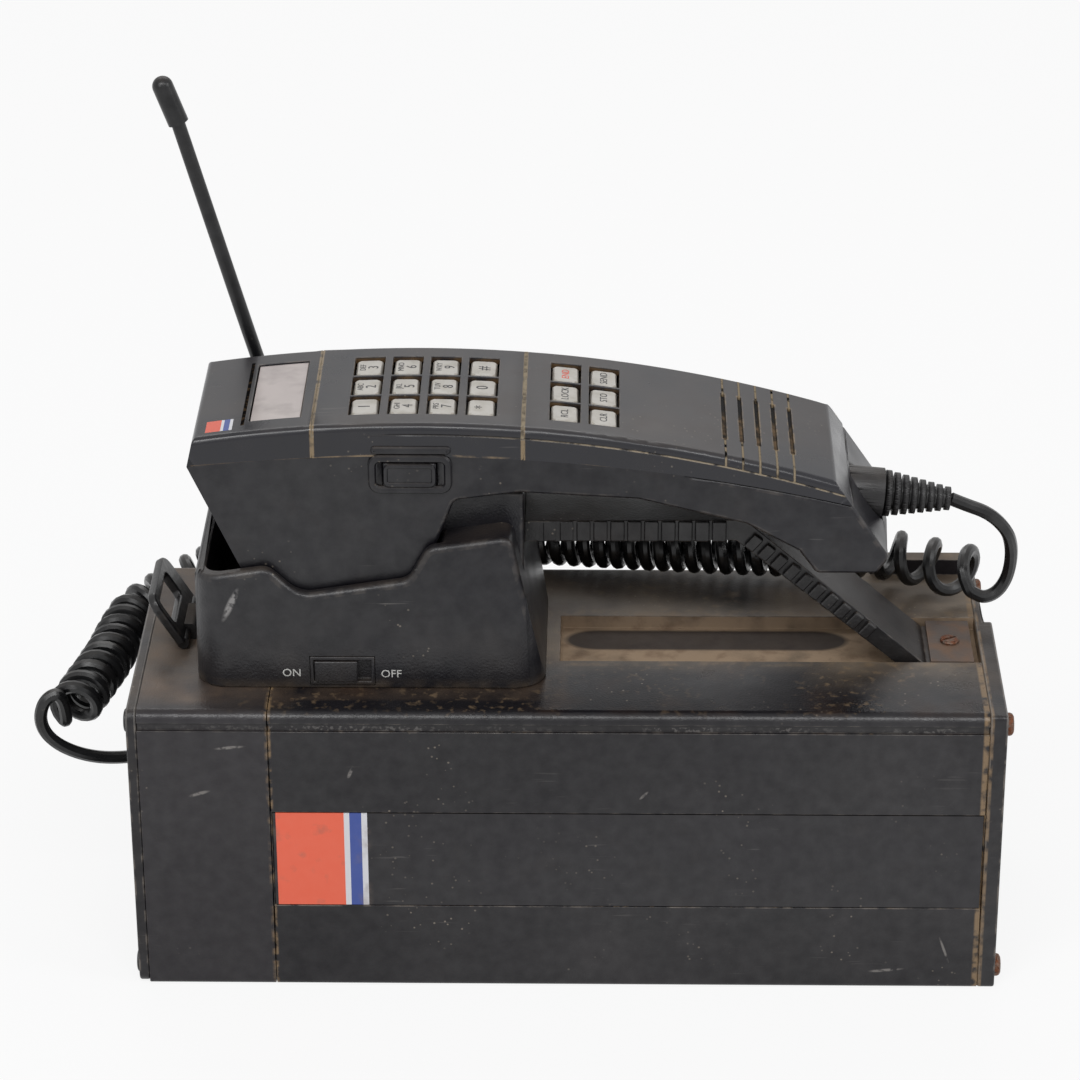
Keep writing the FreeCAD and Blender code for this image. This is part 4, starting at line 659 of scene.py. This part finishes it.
def side_block(length, height, place, side):
    """One raised block on a side of the strap."""
    matrix = (place @ Matrix.Translation((0, side * (strap_half - block_depth), 0))
              @ Matrix.Diagonal((length, block_depth * 2, height, 1)))
    corners = bmesh.ops.create_cube(shape, size=1.0, matrix=matrix)["verts"]
    rounded(shape, list({e for v in corners for e in v.link_edges}), 0.0006, 3, clamp=True)


middle = (strap_low + strap_high) / 2
at = strap_start + block_length / 2
while at < strap_bend - block_length / 2 + 0.001:
    for side in (-1, 1):
        side_block(block_length, 0.0064, Matrix.Translation((at, 0, middle)), side)
    at += block_pitch
at, slope_length = 0.0052, 0.05
while at < slope_length:
    here = Vector((strap_bend + 0.0012, 0, strap_low + 0.00325)) + along_slope * at
    here = Matrix.Translation(here) @ Matrix.Rotation(-slope, 4, "Y") @ Matrix.Translation((0, 0, -0.0004))
    for side in (-1, 1):
        side_block(0.0033, 0.005, here, side)
    at += block_pitch
finished("strap_handle", shape, strap_rubber, "casing", ["carrying_handle"])

plate = Finish("plate_steel", (84, 74, 68), 0.6, Metallic=0.2)
plate.paint((108, 80, 58), 0.7, (160, 0.4, 0.65, 6))
plate.emboss(plate.cloud(900, 0.3, 0.7), 0.00005)
refinished("handle_anchor_plate", plate)


# Strap loop. A black pressed frame that swings in a small bracket beside the
# cradle, for a carrying strap.
loop_black = Finish("loop_enamel", (24, 23, 24), 0.3)
loop_black.paint((74, 66, 58), 0.5, (300, 0.55, 0.75, 5))
loop_black.emboss(loop_black.cloud(600, 0.3, 0.7), 0.00004)
leaning = Matrix.Translation((-0.111, 0.0046, 0.0923)) @ Matrix.Rotation(radians(-31), 4, "Y")
frame_plate = rounded_block(
    (-0.0013, -0.01475, 0.0002), (0.0013, 0.01475, 0.0172), 0, 0.0045, 6, lambda corner: corner.z > 0.01)
opening = rounded_block((-0.01, -0.0114, 0.006), (0.01, 0.0068, 0.0142), 0, 0.0016, 4)
shape = worked(frame_plate, [("DIFFERENCE", opening)])
broken_edges(shape, 0.0007, segments=3, angle=50)
bmesh.ops.transform(shape, matrix=leaning, verts=shape.verts)
bmesh.ops.create_cone(shape, cap_ends=True, segments=24, radius1=0.00175, radius2=0.00175, depth=0.0265,
                      matrix=leaning @ Matrix.Rotation(pi / 2, 4, "X"))
finished("loop_frame", shape, loop_black, "strap_loop", ["strap_loop"])
# Painted shade: the bracket's black is a little darker and more matt than the frame's, so that the bracket
# reads as shade there.
bracket_black_as_shade = aged_black("bracket_enamel_as_shade", (20, 18, 18), 0.6, dust=0.25, grain=0.00004)
dressed("loop_bracket", "strap_loop_bracket", bracket_black_as_shade, "casing", "black_metal")


# Antenna. A rubber whip with a thicker tip, folding on a pin in a metal
# socket beside the cradle.
whip_rubber = aged_black(
    "whip_rubber", (14, 14, 16), 0.3, dust=0.2, grain=0.00002, specks=0.25, scratches=0.2)
dressed("whip", "antenna_whip", whip_rubber, "antenna", "antenna_rubber")
dressed("whip_tip", "antenna_tip", whip_rubber, "antenna", "antenna_rubber")
dressed("whip_knuckle", "antenna_knuckle", loop_black, "antenna", "black_metal")
dressed("whip_socket", "antenna_socket", loop_black, "casing", "black_metal")
bright = Finish("bright_steel", (168, 166, 162), 0.32, Metallic=1.0)
bright.dull(0.5, bright.cloud(900, 0.4, 0.7))
bright.emboss(bright.cloud(3000, 0.3, 0.7), 0.00001)
refinished("antenna_pin", bright)


# Handset. Two halves of moulded plastic: a plain lower shell, and three
# covers on top with thin gaps between them, more worn and glossy.
arc_radius = 0.4
arc_middle = Vector((-0.042, 0, 0.1707 - arc_radius))
cover_seams = (-0.0704, -0.012)
first_slot, slot_pitch = 0.04415, 0.00477


def on_top(along, across, above=0.0):
    """A place on the handset's curved top: text right is +Y and text up is -X."""
    tilt = asin((along + 0.042) / arc_radius)
    out = Vector((sin(tilt), 0, cos(tilt)))
    up = Vector((-cos(tilt), 0, sin(tilt)))
    place = arc_middle + out * (arc_radius + above) + Vector((0, across, 0))
    return Matrix(((0, up.x, out.x, place.x), (1, 0, 0, place.y), (0, up.z, out.z, place.z), (0, 0, 0, 1)))


def arc_distance(finish):
    """How far a point is from the axis of the handset's curved top, in metres."""
    flat = finish.add("Mapping", 0,
                      {"Vector": finish.place, "Location": -arc_middle, "Scale": (1.0, 0.0, 1.0)})
    return finish.add("VectorMath", "Value", {0: flat}, operation="LENGTH")


shell_black = aged_black("shell_plastic", (22, 21, 26), 0.3, dust=0.25, grain=0.00002, rub=0.15, specks=0.35)
cover = aged_black("cover_plastic", (31, 31, 37), 0.2, dust=0.2, grain=0.000005, rub=0.35, specks=0.3,
                   scratches=0.6)
for seam in cover_seams:
    cover.paint((142, 122, 92), 0.85, cover.between("X", seam - 0.0005, seam + 0.0005, 0.0002),
                (260, 0.3, 0.5, 5))
cover.put("Specular IOR Level", cover.ramp(cover.sum("ABSOLUTE", cover.along("Y")), 0.0242, 0.0252, 0.5, 1))
from_arc = arc_distance(cover)
cover.paint((112, 88, 60), 0.7, cover.between("Y", -0.0225, 0.0225, 0.0005),
            cover.between("X", -0.0625, 0.0165), cover.ramp(from_arc, 0.3998, 0.3994), (240, 0.3, 0.6, 4))
grooves = cover.times(cover.between("X", 0.042, 0.0655), cover.ramp(from_arc, 0.3969, 0.3971))
slot_place = cover.sum("PINGPONG", cover.sum("SUBTRACT", cover.along("X"), first_slot), slot_pitch / 2)
grooves = cover.times(grooves, cover.ramp(slot_place, 0.0004, 0.0002))
outside = cover.sum("GREATER_THAN", cover.sum("ABSOLUTE", cover.along("Y")), 0.0262)
lip = cover.times(cover.fade("X", -0.06, -0.04), cover.ramp(from_arc, 0.3966, 0.3968),
                  cover.ramp(from_arc, 0.3973, 0.3971), outside)
lines = cover.sum("MAXIMUM", grooves, lip)
slot = cover.times(cover.between("X", -0.0905, -0.0896, 0.0001), cover.between("Y", -0.0212, 0.0205, 0.0002),
                   cover.ramp(from_arc, 0.3988, 0.399))
cover.paint((38, 33, 30), 0.8, lip)
cover.shadow(cover.sum("MAXIMUM", grooves, slot))
cover.paint((150, 136, 114), 0.9, lines, (330, 0.38, 0.5, 5), cover.fade("X", -0.03, 0.01))
cover.paint((96, 76, 54), 0.35, slot, (500, 0.5, 0.6, 5))
slot_dust = cover.times(cover.ramp(slot_place, 0.0011, 0.0006), cover.between("X", 0.0427, 0.0647),
                        cover.between("Y", -0.0154, 0.0154), (260, 0.42, 0.6, 5))
cover.paint((138, 116, 84), 0.7, slot_dust)
cover.emboss(lines, -0.0002)
cover.paint((150, 128, 98), 0.6, outside, cover.ramp(from_arc, 0.3912, 0.3909),
            cover.ramp(from_arc, 0.3902, 0.3905), (120, 0.5, 0.62, 5))
over_joint = cover.sum("SUBTRACT", cover.along("Z"), cover.fade("X", -0.1054, -0.068, 0.1576, 0.1604))
joint_dirt = cover.times(outside, cover.between("X", -0.104, -0.068), cover.ramp(over_joint, 0.0006, 0.0003))
cover.paint((96, 78, 56), 0.8, joint_dirt, (260, 0.36, 0.6, 5))
tab = cover.between("Y", -0.0235, -0.0165, 0.0001)
bars(cover, "X",
     [(-0.1002, (231, 100, 76)), (-0.096, label_white), (-0.0952, label_blue), (-0.0936, label_white),
      (-0.0928, None)], tab, cover.fade("Z", 0.163, 0.164))


def shell_edges(edge):
    """The lower shell's edges, but for the side key's seat."""
    return all(v.co.z < 0.156 and not (-0.053 < v.co.x < -0.034 and v.co.z > 0.149) for v in edge.verts)


dressed("handset_shell", "handset_lower_shell", shell_black, "handset", "handset_moulding", 0.0013,
        shell_edges, angle=30, segments=4)


def off_rounding(edge):
    """Edges of the openings and seams, not those of the rounded outline."""
    return all(abs(v.co.y) < 0.0243 and -0.1012 < v.co.x < 0.0738 for v in edge.verts)


cad_seam, seam_shift = -0.068, 0.0024
for name, node in (("display_end_cover", "display_cover"), ("keypad_panel", "keypad_cover"),
                   ("earpiece_end_cover", "grille_cover")):
    shape = cleaned([node])
    for vert in shape.verts:
        if abs(vert.co.x - cad_seam) < seam_shift / 2:
            vert.co.x -= seam_shift
    broken_edges(shape, 0.00025, off_rounding)
    finished(name, shape, cover, "handset", [node], smooth=40)

dirt = Finish("dried_dust", (142, 130, 108), 0.85)
dirt.paint((62, 52, 42), 0.8, (400, 0.45, 0.65, 6))
dirt.emboss(dirt.cloud(1500, 0.3, 0.7), 0.0001)
round_top = [(-0.02703, -0.0029), (-0.02703, -0.0022)]
round_top += [(-0.0248 - 0.00223 * cos(a), -0.0022 + 0.00223 * sin(a))
              for a in [step * pi / 12 for step in range(1, 6)]]
round_top += [(-0.0246, 0.00003)]
round_top += [(-across, above) for across, above in round_top[::-1]]


def ribbon(shape, seam, section, half_width):
    """A thin strip along a seam of the covers, level with their surface."""
    rings, reach = [], Vector((0, half_width, 0))
    for across, above in section:
        inward = 0.0003 * (-1 if across > 0 else 1) if above < -0.0005 else 0.0
        low = -0.0003 if above > -0.0022 else 0.0
        corners = ((0, 0, -1), (0, 0, 1), (inward, low, 1), (inward, low, -1))
        rings.append([shape.verts.new(on_top(seam, across + dx, above + dz) @ (reach * side))
                      for dx, dz, side in corners])
    for first, second in zip(rings, rings[1:]):
        for i in range(4):
            shape.faces.new((first[i], first[(i + 1) % 4], second[(i + 1) % 4], second[i]))
    shape.faces.new(rings[0][::-1])
    shape.faces.new(rings[-1])


shape, filler = bmesh.new(), bmesh.new()
for seam in cover_seams:
    ribbon(shape, seam, round_top, 0.00045)
    for side in (-1, 1):
        ribbon(filler, seam, [(side * 0.02701, -0.0092), (side * 0.02701, -0.0029)], 0.0007)
for piece in (shape, filler):
    bmesh.ops.recalc_face_normals(piece, faces=piece.faces)
finished("seam_dust", shape, dirt, "handset")
finished("seam_filler", filler, cover, "handset")

felt = Finish("grille_felt", (20, 19, 18), 0.95)
felt.paint((122, 100, 74), 0.85, felt.fade("Y", 0.005, 0.001), (300, 0.35, 0.62, 5))
shape = bmesh.new()
for index in range(5):
    bmesh.ops.create_cube(shape, size=1.0, matrix=on_top(first_slot + slot_pitch * index, 0, -0.0012)
                          @ Matrix.Diagonal((0.0296, 0.00104, 0.0006, 1)))
finished("grille_felt", shape, felt, "handset")


# Display. A smoked window, grey-pink when the display is off, set flush in the
# cover.
window = Finish("window_acrylic", (194, 184, 180), 0.18)
window.paint((164, 154, 152), 0.5, (45, 0.4, 0.7))
window.paint((204, 196, 190), 0.6, (38, 0.5, 0.75, 6))
window.paint((146, 136, 134), 0.45, (150, 0.46, 0.72, 8))
window.paint((214, 206, 196), 0.7, window.specks(380, 0.2))
window.paint((110, 96, 86), 0.6, window.edges())
dressed("display_window", "display_lens", window, "handset", "lens_acrylic", 0.0002)


# Keys. Eighteen pale plastic caps with printed figures, each on its own
# spring of the rubber mat; one has a red legend.
cap_white = Finish("key_plastic", (190, 186, 178), 0.3)
cap_white.paint((146, 138, 120), 0.4, (240, 0.45, 0.7, 5))
cap_white.paint((120, 104, 78), 0.3, cap_white.edges())
height = cap_white.sum("SUBTRACT", arc_distance(cap_white), arc_radius)
cap_white.paint((124, 106, 80), 0.85, cap_white.ramp(height, -0.0011, -0.0016))
cap_white.emboss(cap_white.cloud(1600, 0.3, 0.7), 0.00002)
key_ink = Finish("key_ink", (30, 30, 34), 0.5)
key_ink.paint((90, 88, 86), 0.5, (1200, 0.55, 0.75))
red_ink = Finish("red_ink", (214, 74, 58), 0.5)
red_ink.paint((236, 130, 110), 0.5, (1200, 0.5, 0.75))
big, small = 0.0042, 0.0024
columns, key_pitch = (-0.0132, 0.0, 0.0132), 0.01087
letters = {"2": "ABC", "3": "DEF", "4": "GHI", "5": "JKL", "6": "MNO", "7": "PRS", "8": "TUV", "9": "WXY"}
labels = {"*": "star", "0": "zero", "#": "hash", "RCL": "recall", "CLR": "clear", "STO": "store"}
key_plan = []
for across, figures in zip(columns, ("147*", "2580", "369#")):
    for step, figure in enumerate(figures):
        words = [(figure, big * 1.15, 0, 0)]
        if figure in letters:
            words = [(figure, big, 0, -0.0012), (letters[figure], small, 0, 0.0018)]
        key_plan.append((figure, -0.0564 + key_pitch * step, across, words, key_ink))
for across, column in zip(columns, (("RCL", "CLR"), ("LOCK", "STO"), ("END", "SEND"))):
    for step, word in enumerate(column):
        ink = red_ink if word == "END" else key_ink
        key_plan.append((word, -0.0005 + key_pitch * step, across, [(word, 0.003, 0, 0)], ink))
taper_across, taper_along, taper_low = 0.87, 0.93, -0.0012
for key, along, across, words, ink in key_plan:
    label = labels.get(key, key.lower())
    node = "key_" + label
    shape = cleaned([node])
    place = on_top(along, across)
    back = place.inverted()
    for vert in shape.verts:
        seen = back @ vert.co
        if seen.z > taper_low:
            vert.co = place @ Vector((seen.x * taper_across, seen.y * taper_along, seen.z))
    broken_edges(shape, 0.0007, segments=3, angle=50)
    finished("cap_" + label, shape, cap_white, node, [node])
    finished("legend_" + label, lettering(words, on_top(along, across, -0.00049)), ink, node)


# Side key. A flat key with a raised lip, in a moulded ring with a finger bar
# over it, on the front of the handset.
def ring(left, right, bottom, top, corner):
    """A closed line of X and Z round a rectangle with rounded corners."""
    line = []
    for x, z, turn in ((right - corner, top - corner, 0), (left + corner, top - corner, 1),
                       (left + corner, bottom + corner, 2), (right - corner, bottom + corner, 3)):
        for step in range(7):
            angle = pi / 2 * (turn + step / 6)
            line.append((x + corner * cos(angle), z + corner * sin(angle)))
    return line


def curved(points, kind, closed=False, **settings):
    """A mesh read from a curve through points: a bare line, or a wire where settings give it a radius."""
    curve = bpy.data.curves.new("wire", "CURVE")
    curve.dimensions = "3D"
    for name, value in settings.items():
        setattr(curve, name, value)
    spline = curve.splines.new(kind)
    spline.points.add(len(points) - 1)
    for point, place in zip(spline.points, points):
        point.co = (*place, 1)
    spline.use_cyclic_u = closed
    if kind == "NURBS":
        spline.order_u = 3
        spline.use_endpoint_u = True
    holder = bpy.data.objects.new("wire", curve)
    mesh = bpy.data.meshes.new_from_object(holder)
    bpy.data.objects.remove(holder)
    return mesh


def bent_wire(points, radius, closed=False):
    """A round wire that follows points."""
    return curved(points, "POLY", closed, bevel_depth=radius, bevel_resolution=3, use_fill_caps=True)


def raised_lines(lines, level):
    """Round beads on the handset's front; each is its line of X and Z and its radius."""
    shape = bmesh.new()
    for line, radius in lines:
        mesh = bent_wire([(x, 0, z) for x, z in line], radius, closed=True)
        mesh.transform(Matrix.Translation((0, level, 0)))
        shape.from_mesh(mesh)
        bpy.data.meshes.remove(mesh)
    bmesh.ops.recalc_face_normals(shape, faces=shape.faces)
    return shape


finger_bar = ring(-0.0533, -0.0329, 0.16285, 0.16325, 0.0002)
shape = raised_lines([(ring(-0.0539, -0.0328, 0.151, 0.1606, 0.0022), 0.0012), (finger_bar, 0.001)], -0.027)
finished("side_key_ring", shape, shell_black, "handset")
dressed("side_key_cap", "side_key", shell_black, "side_key", "handset_moulding", 0.0004)
shape = raised_lines([(ring(-0.0502, -0.0368, 0.1526, 0.1583, 0.0012), 0.0007)], -0.0273)
finished("side_key_lip", shape, shell_black, "side_key")


# Strain relief and gland. Ribbed rubber sleeves where the cord leaves the
# handset's nose and enters the left cap.
sleeve_rubber = aged_black("sleeve_rubber", (34, 33, 34), 0.34, dust=0.35, rub=0.2, specks=0.3)
dressed("ribbed_sleeve", "strain_relief", sleeve_rubber, "handset", "handle_rubber")
dressed("cap_gland", "cord_gland", sleeve_rubber, "casing", "handle_rubber")


# Cord. A curly lead of 3.8 mm wire: straight out of the ribbed sleeve, down
# behind the handle in a sprung coil, round the left end and into its gland.
wire_radius, coil_radius = 0.0019, 0.0059
flare, flare_length = 0.0009, 0.03
handset_lead = [
    (0.10924, 0, 0.13551), (0.1128, 0.0002, 0.1338), (0.1206, 0.0012, 0.1304), (0.126, 0.0035, 0.124),
    (0.1279, 0.0062, 0.1178), (0.1284, 0.009, 0.1112), (0.1277, 0.0108, 0.1048), (0.1252, 0.0107, 0.1001),
    (0.1212, 0.0104, 0.0982), (0.1178, 0.0105, 0.1)]
coil_route = [
    (0.1205, 0.016, 0.103), (0.113, 0.0225, 0.101), (0.104, 0.029, 0.1008), (0.093, 0.0335, 0.101),
    (0.068, 0.0365, 0.0998), (0.032, 0.0405, 0.0992), (0, 0.045, 0.099), (-0.029, 0.0505, 0.0975),
    (-0.055, 0.054, 0.0935), (-0.079, 0.0556, 0.0905), (-0.101, 0.057, 0.0868), (-0.115, 0.0565, 0.08),
    (-0.1262, 0.054, 0.074), (-0.1325, 0.0485, 0.0715), (-0.135, 0.038, 0.0705), (-0.1366, 0.027, 0.07),
    (-0.1388, 0.0155, 0.0702), (-0.1414, 0.0045, 0.0702), (-0.1446, -0.0055, 0.069)]
casing_lead = [(-0.1475, -0.0068, 0.075), (-0.152, -0.0078, 0.0735), (-0.154, -0.0088, 0.068),
               (-0.1527, -0.0088, 0.0622), (-0.148, -0.0077, 0.057), (-0.1405, -0.0055, 0.0527),
               (-0.132, -0.0022, 0.0503), (-0.1262, 0, 0.05)]


def smooth_line(controls):
    """Points read from a NURBS spline through the cord's route."""
    return [v.co.copy() for v in curved(controls, "NURBS", resolution_u=40).vertices]


def pitch_at(reach):
    """How far apart the turns lie, in metres along the coil: open at the handset, then closing up."""
    stops = [(0.0, 0.0145), (0.012, 0.013), (0.03, 0.0085), (0.06, 0.0052), (0.1, 0.0045), (0.2, 0.0045),
             (0.25, 0.0058), (0.4, 0.0058)]
    for (a, low), (b, high) in zip(stops, stops[1:]):
        if reach <= b:
            return low + (high - low) * max(reach - a, 0) / (b - a)
    return stops[-1][1]


route = smooth_line(coil_route)
far = [0.0]
for first, second in zip(route, route[1:]):
    far.append(far[-1] + (second - first).length)
coil_length = far[-1]
first_angle, steps, points_per_turn = 1.45 * pi, 8000, 22
turns = sum(coil_length / steps / pitch_at(coil_length * (i + 0.5) / steps) for i in range(steps))
laid_turns = round(turns) - 0.31  # the last turn ends towards the gland
coil, angle, last, at = [], first_angle, -1.0, 0
for i in range(steps + 1):
    reach = coil_length * i / steps
    if angle - last > 2 * pi / points_per_turn:
        while reach > far[at + 1] and at < len(route) - 2:
            at += 1
        part = (reach - far[at]) / max(far[at + 1] - far[at], 1e-9)
        heading = (route[at + 1] - route[at]).normalized()
        up = (Vector((0, 0, 1)) - heading * heading.z).normalized()
        aside = heading.cross(up)
        swell = coil_radius + flare * max(0, 1 - reach / flare_length)
        coil.append(route[at].lerp(route[at + 1], part)
                    + up * swell * cos(angle) + aside * swell * sin(angle))
        last = angle
    angle += 2 * pi * laid_turns / turns * coil_length / steps / pitch_at(reach)
arriving = (coil[0] - coil[1]).normalized()
leaving = (coil[-1] - coil[-2]).normalized()
wire = smooth_line(handset_lead + [coil[0] + arriving * 0.0015, coil[0]])[:-4:4] + coil
wire += smooth_line([coil[-1], coil[-1] + leaving * 0.003] + casing_lead)[:4:-4][::-1]
shape = bmesh.new()
shape.from_mesh(bent_wire(wire, wire_radius))
bmesh.ops.remove_doubles(shape, verts=shape.verts, dist=0.00001)
cord_rubber = aged_black(
    "cord_rubber", (23, 23, 24), 0.23, dust=0.15, grain=0.000005, specks=0.15, scratches=0.0)
cord = finished("curly_cord", shape, cord_rubber, None,
                ["cord_coil", "cord_lead_handset", "cord_lead_casing"])
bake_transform(cord)


# Inside. Battery cells in their tray, two circuit boards, a tin screen, and
# in the handset a board, a rubber mat, two capsules and a magnet.
def plain(name, colour, roughness, second, size, metal=0.0):
    finish = Finish(name, colour, roughness, Metallic=metal)
    finish.paint(second, 0.5, finish.cloud(size, 0.4, 0.7, 4))
    finish.dull(min(roughness + 0.2, 1.0), finish.cloud(size * 3, 0.4, 0.7))
    finish.emboss(finish.cloud(size * 12, 0.3, 0.7), 0.00003)
    return finish


laminate = plain("board_laminate", (34, 84, 52), 0.4, (26, 66, 42), 220.0)
capsule_black = plain("capsule_plastic", (40, 40, 42), 0.5, (58, 56, 54), 160.0)
for finish, nodes in (
        (plain("cell_wrap", (44, 66, 120), 0.35, (34, 50, 96), 60.0), ["battery_cells"]),
        (plain("tray_plastic", (70, 70, 72), 0.5, (52, 52, 54), 80.0), ["battery_tray"]),
        (laminate, ["radio_board", "power_board", "handset_board", "display_module"]),
        (plain("shield_tin", (172, 174, 172), 0.34, (140, 142, 140), 90.0, 1.0), ["radio_shield"]),
        (plain("mat_rubber", (62, 60, 58), 0.7, (84, 78, 68), 240.0), ["keypad_mat"]),
        (capsule_black, ["earpiece_capsule", "microphone_capsule"]),
        (plain("magnet_metal", (120, 120, 122), 0.35, (90, 90, 92), 400.0, 1.0), ["hook_magnet"]),
        (bright, ["handset_screws"])):
    for node in nodes:
        refinished(node, finish)
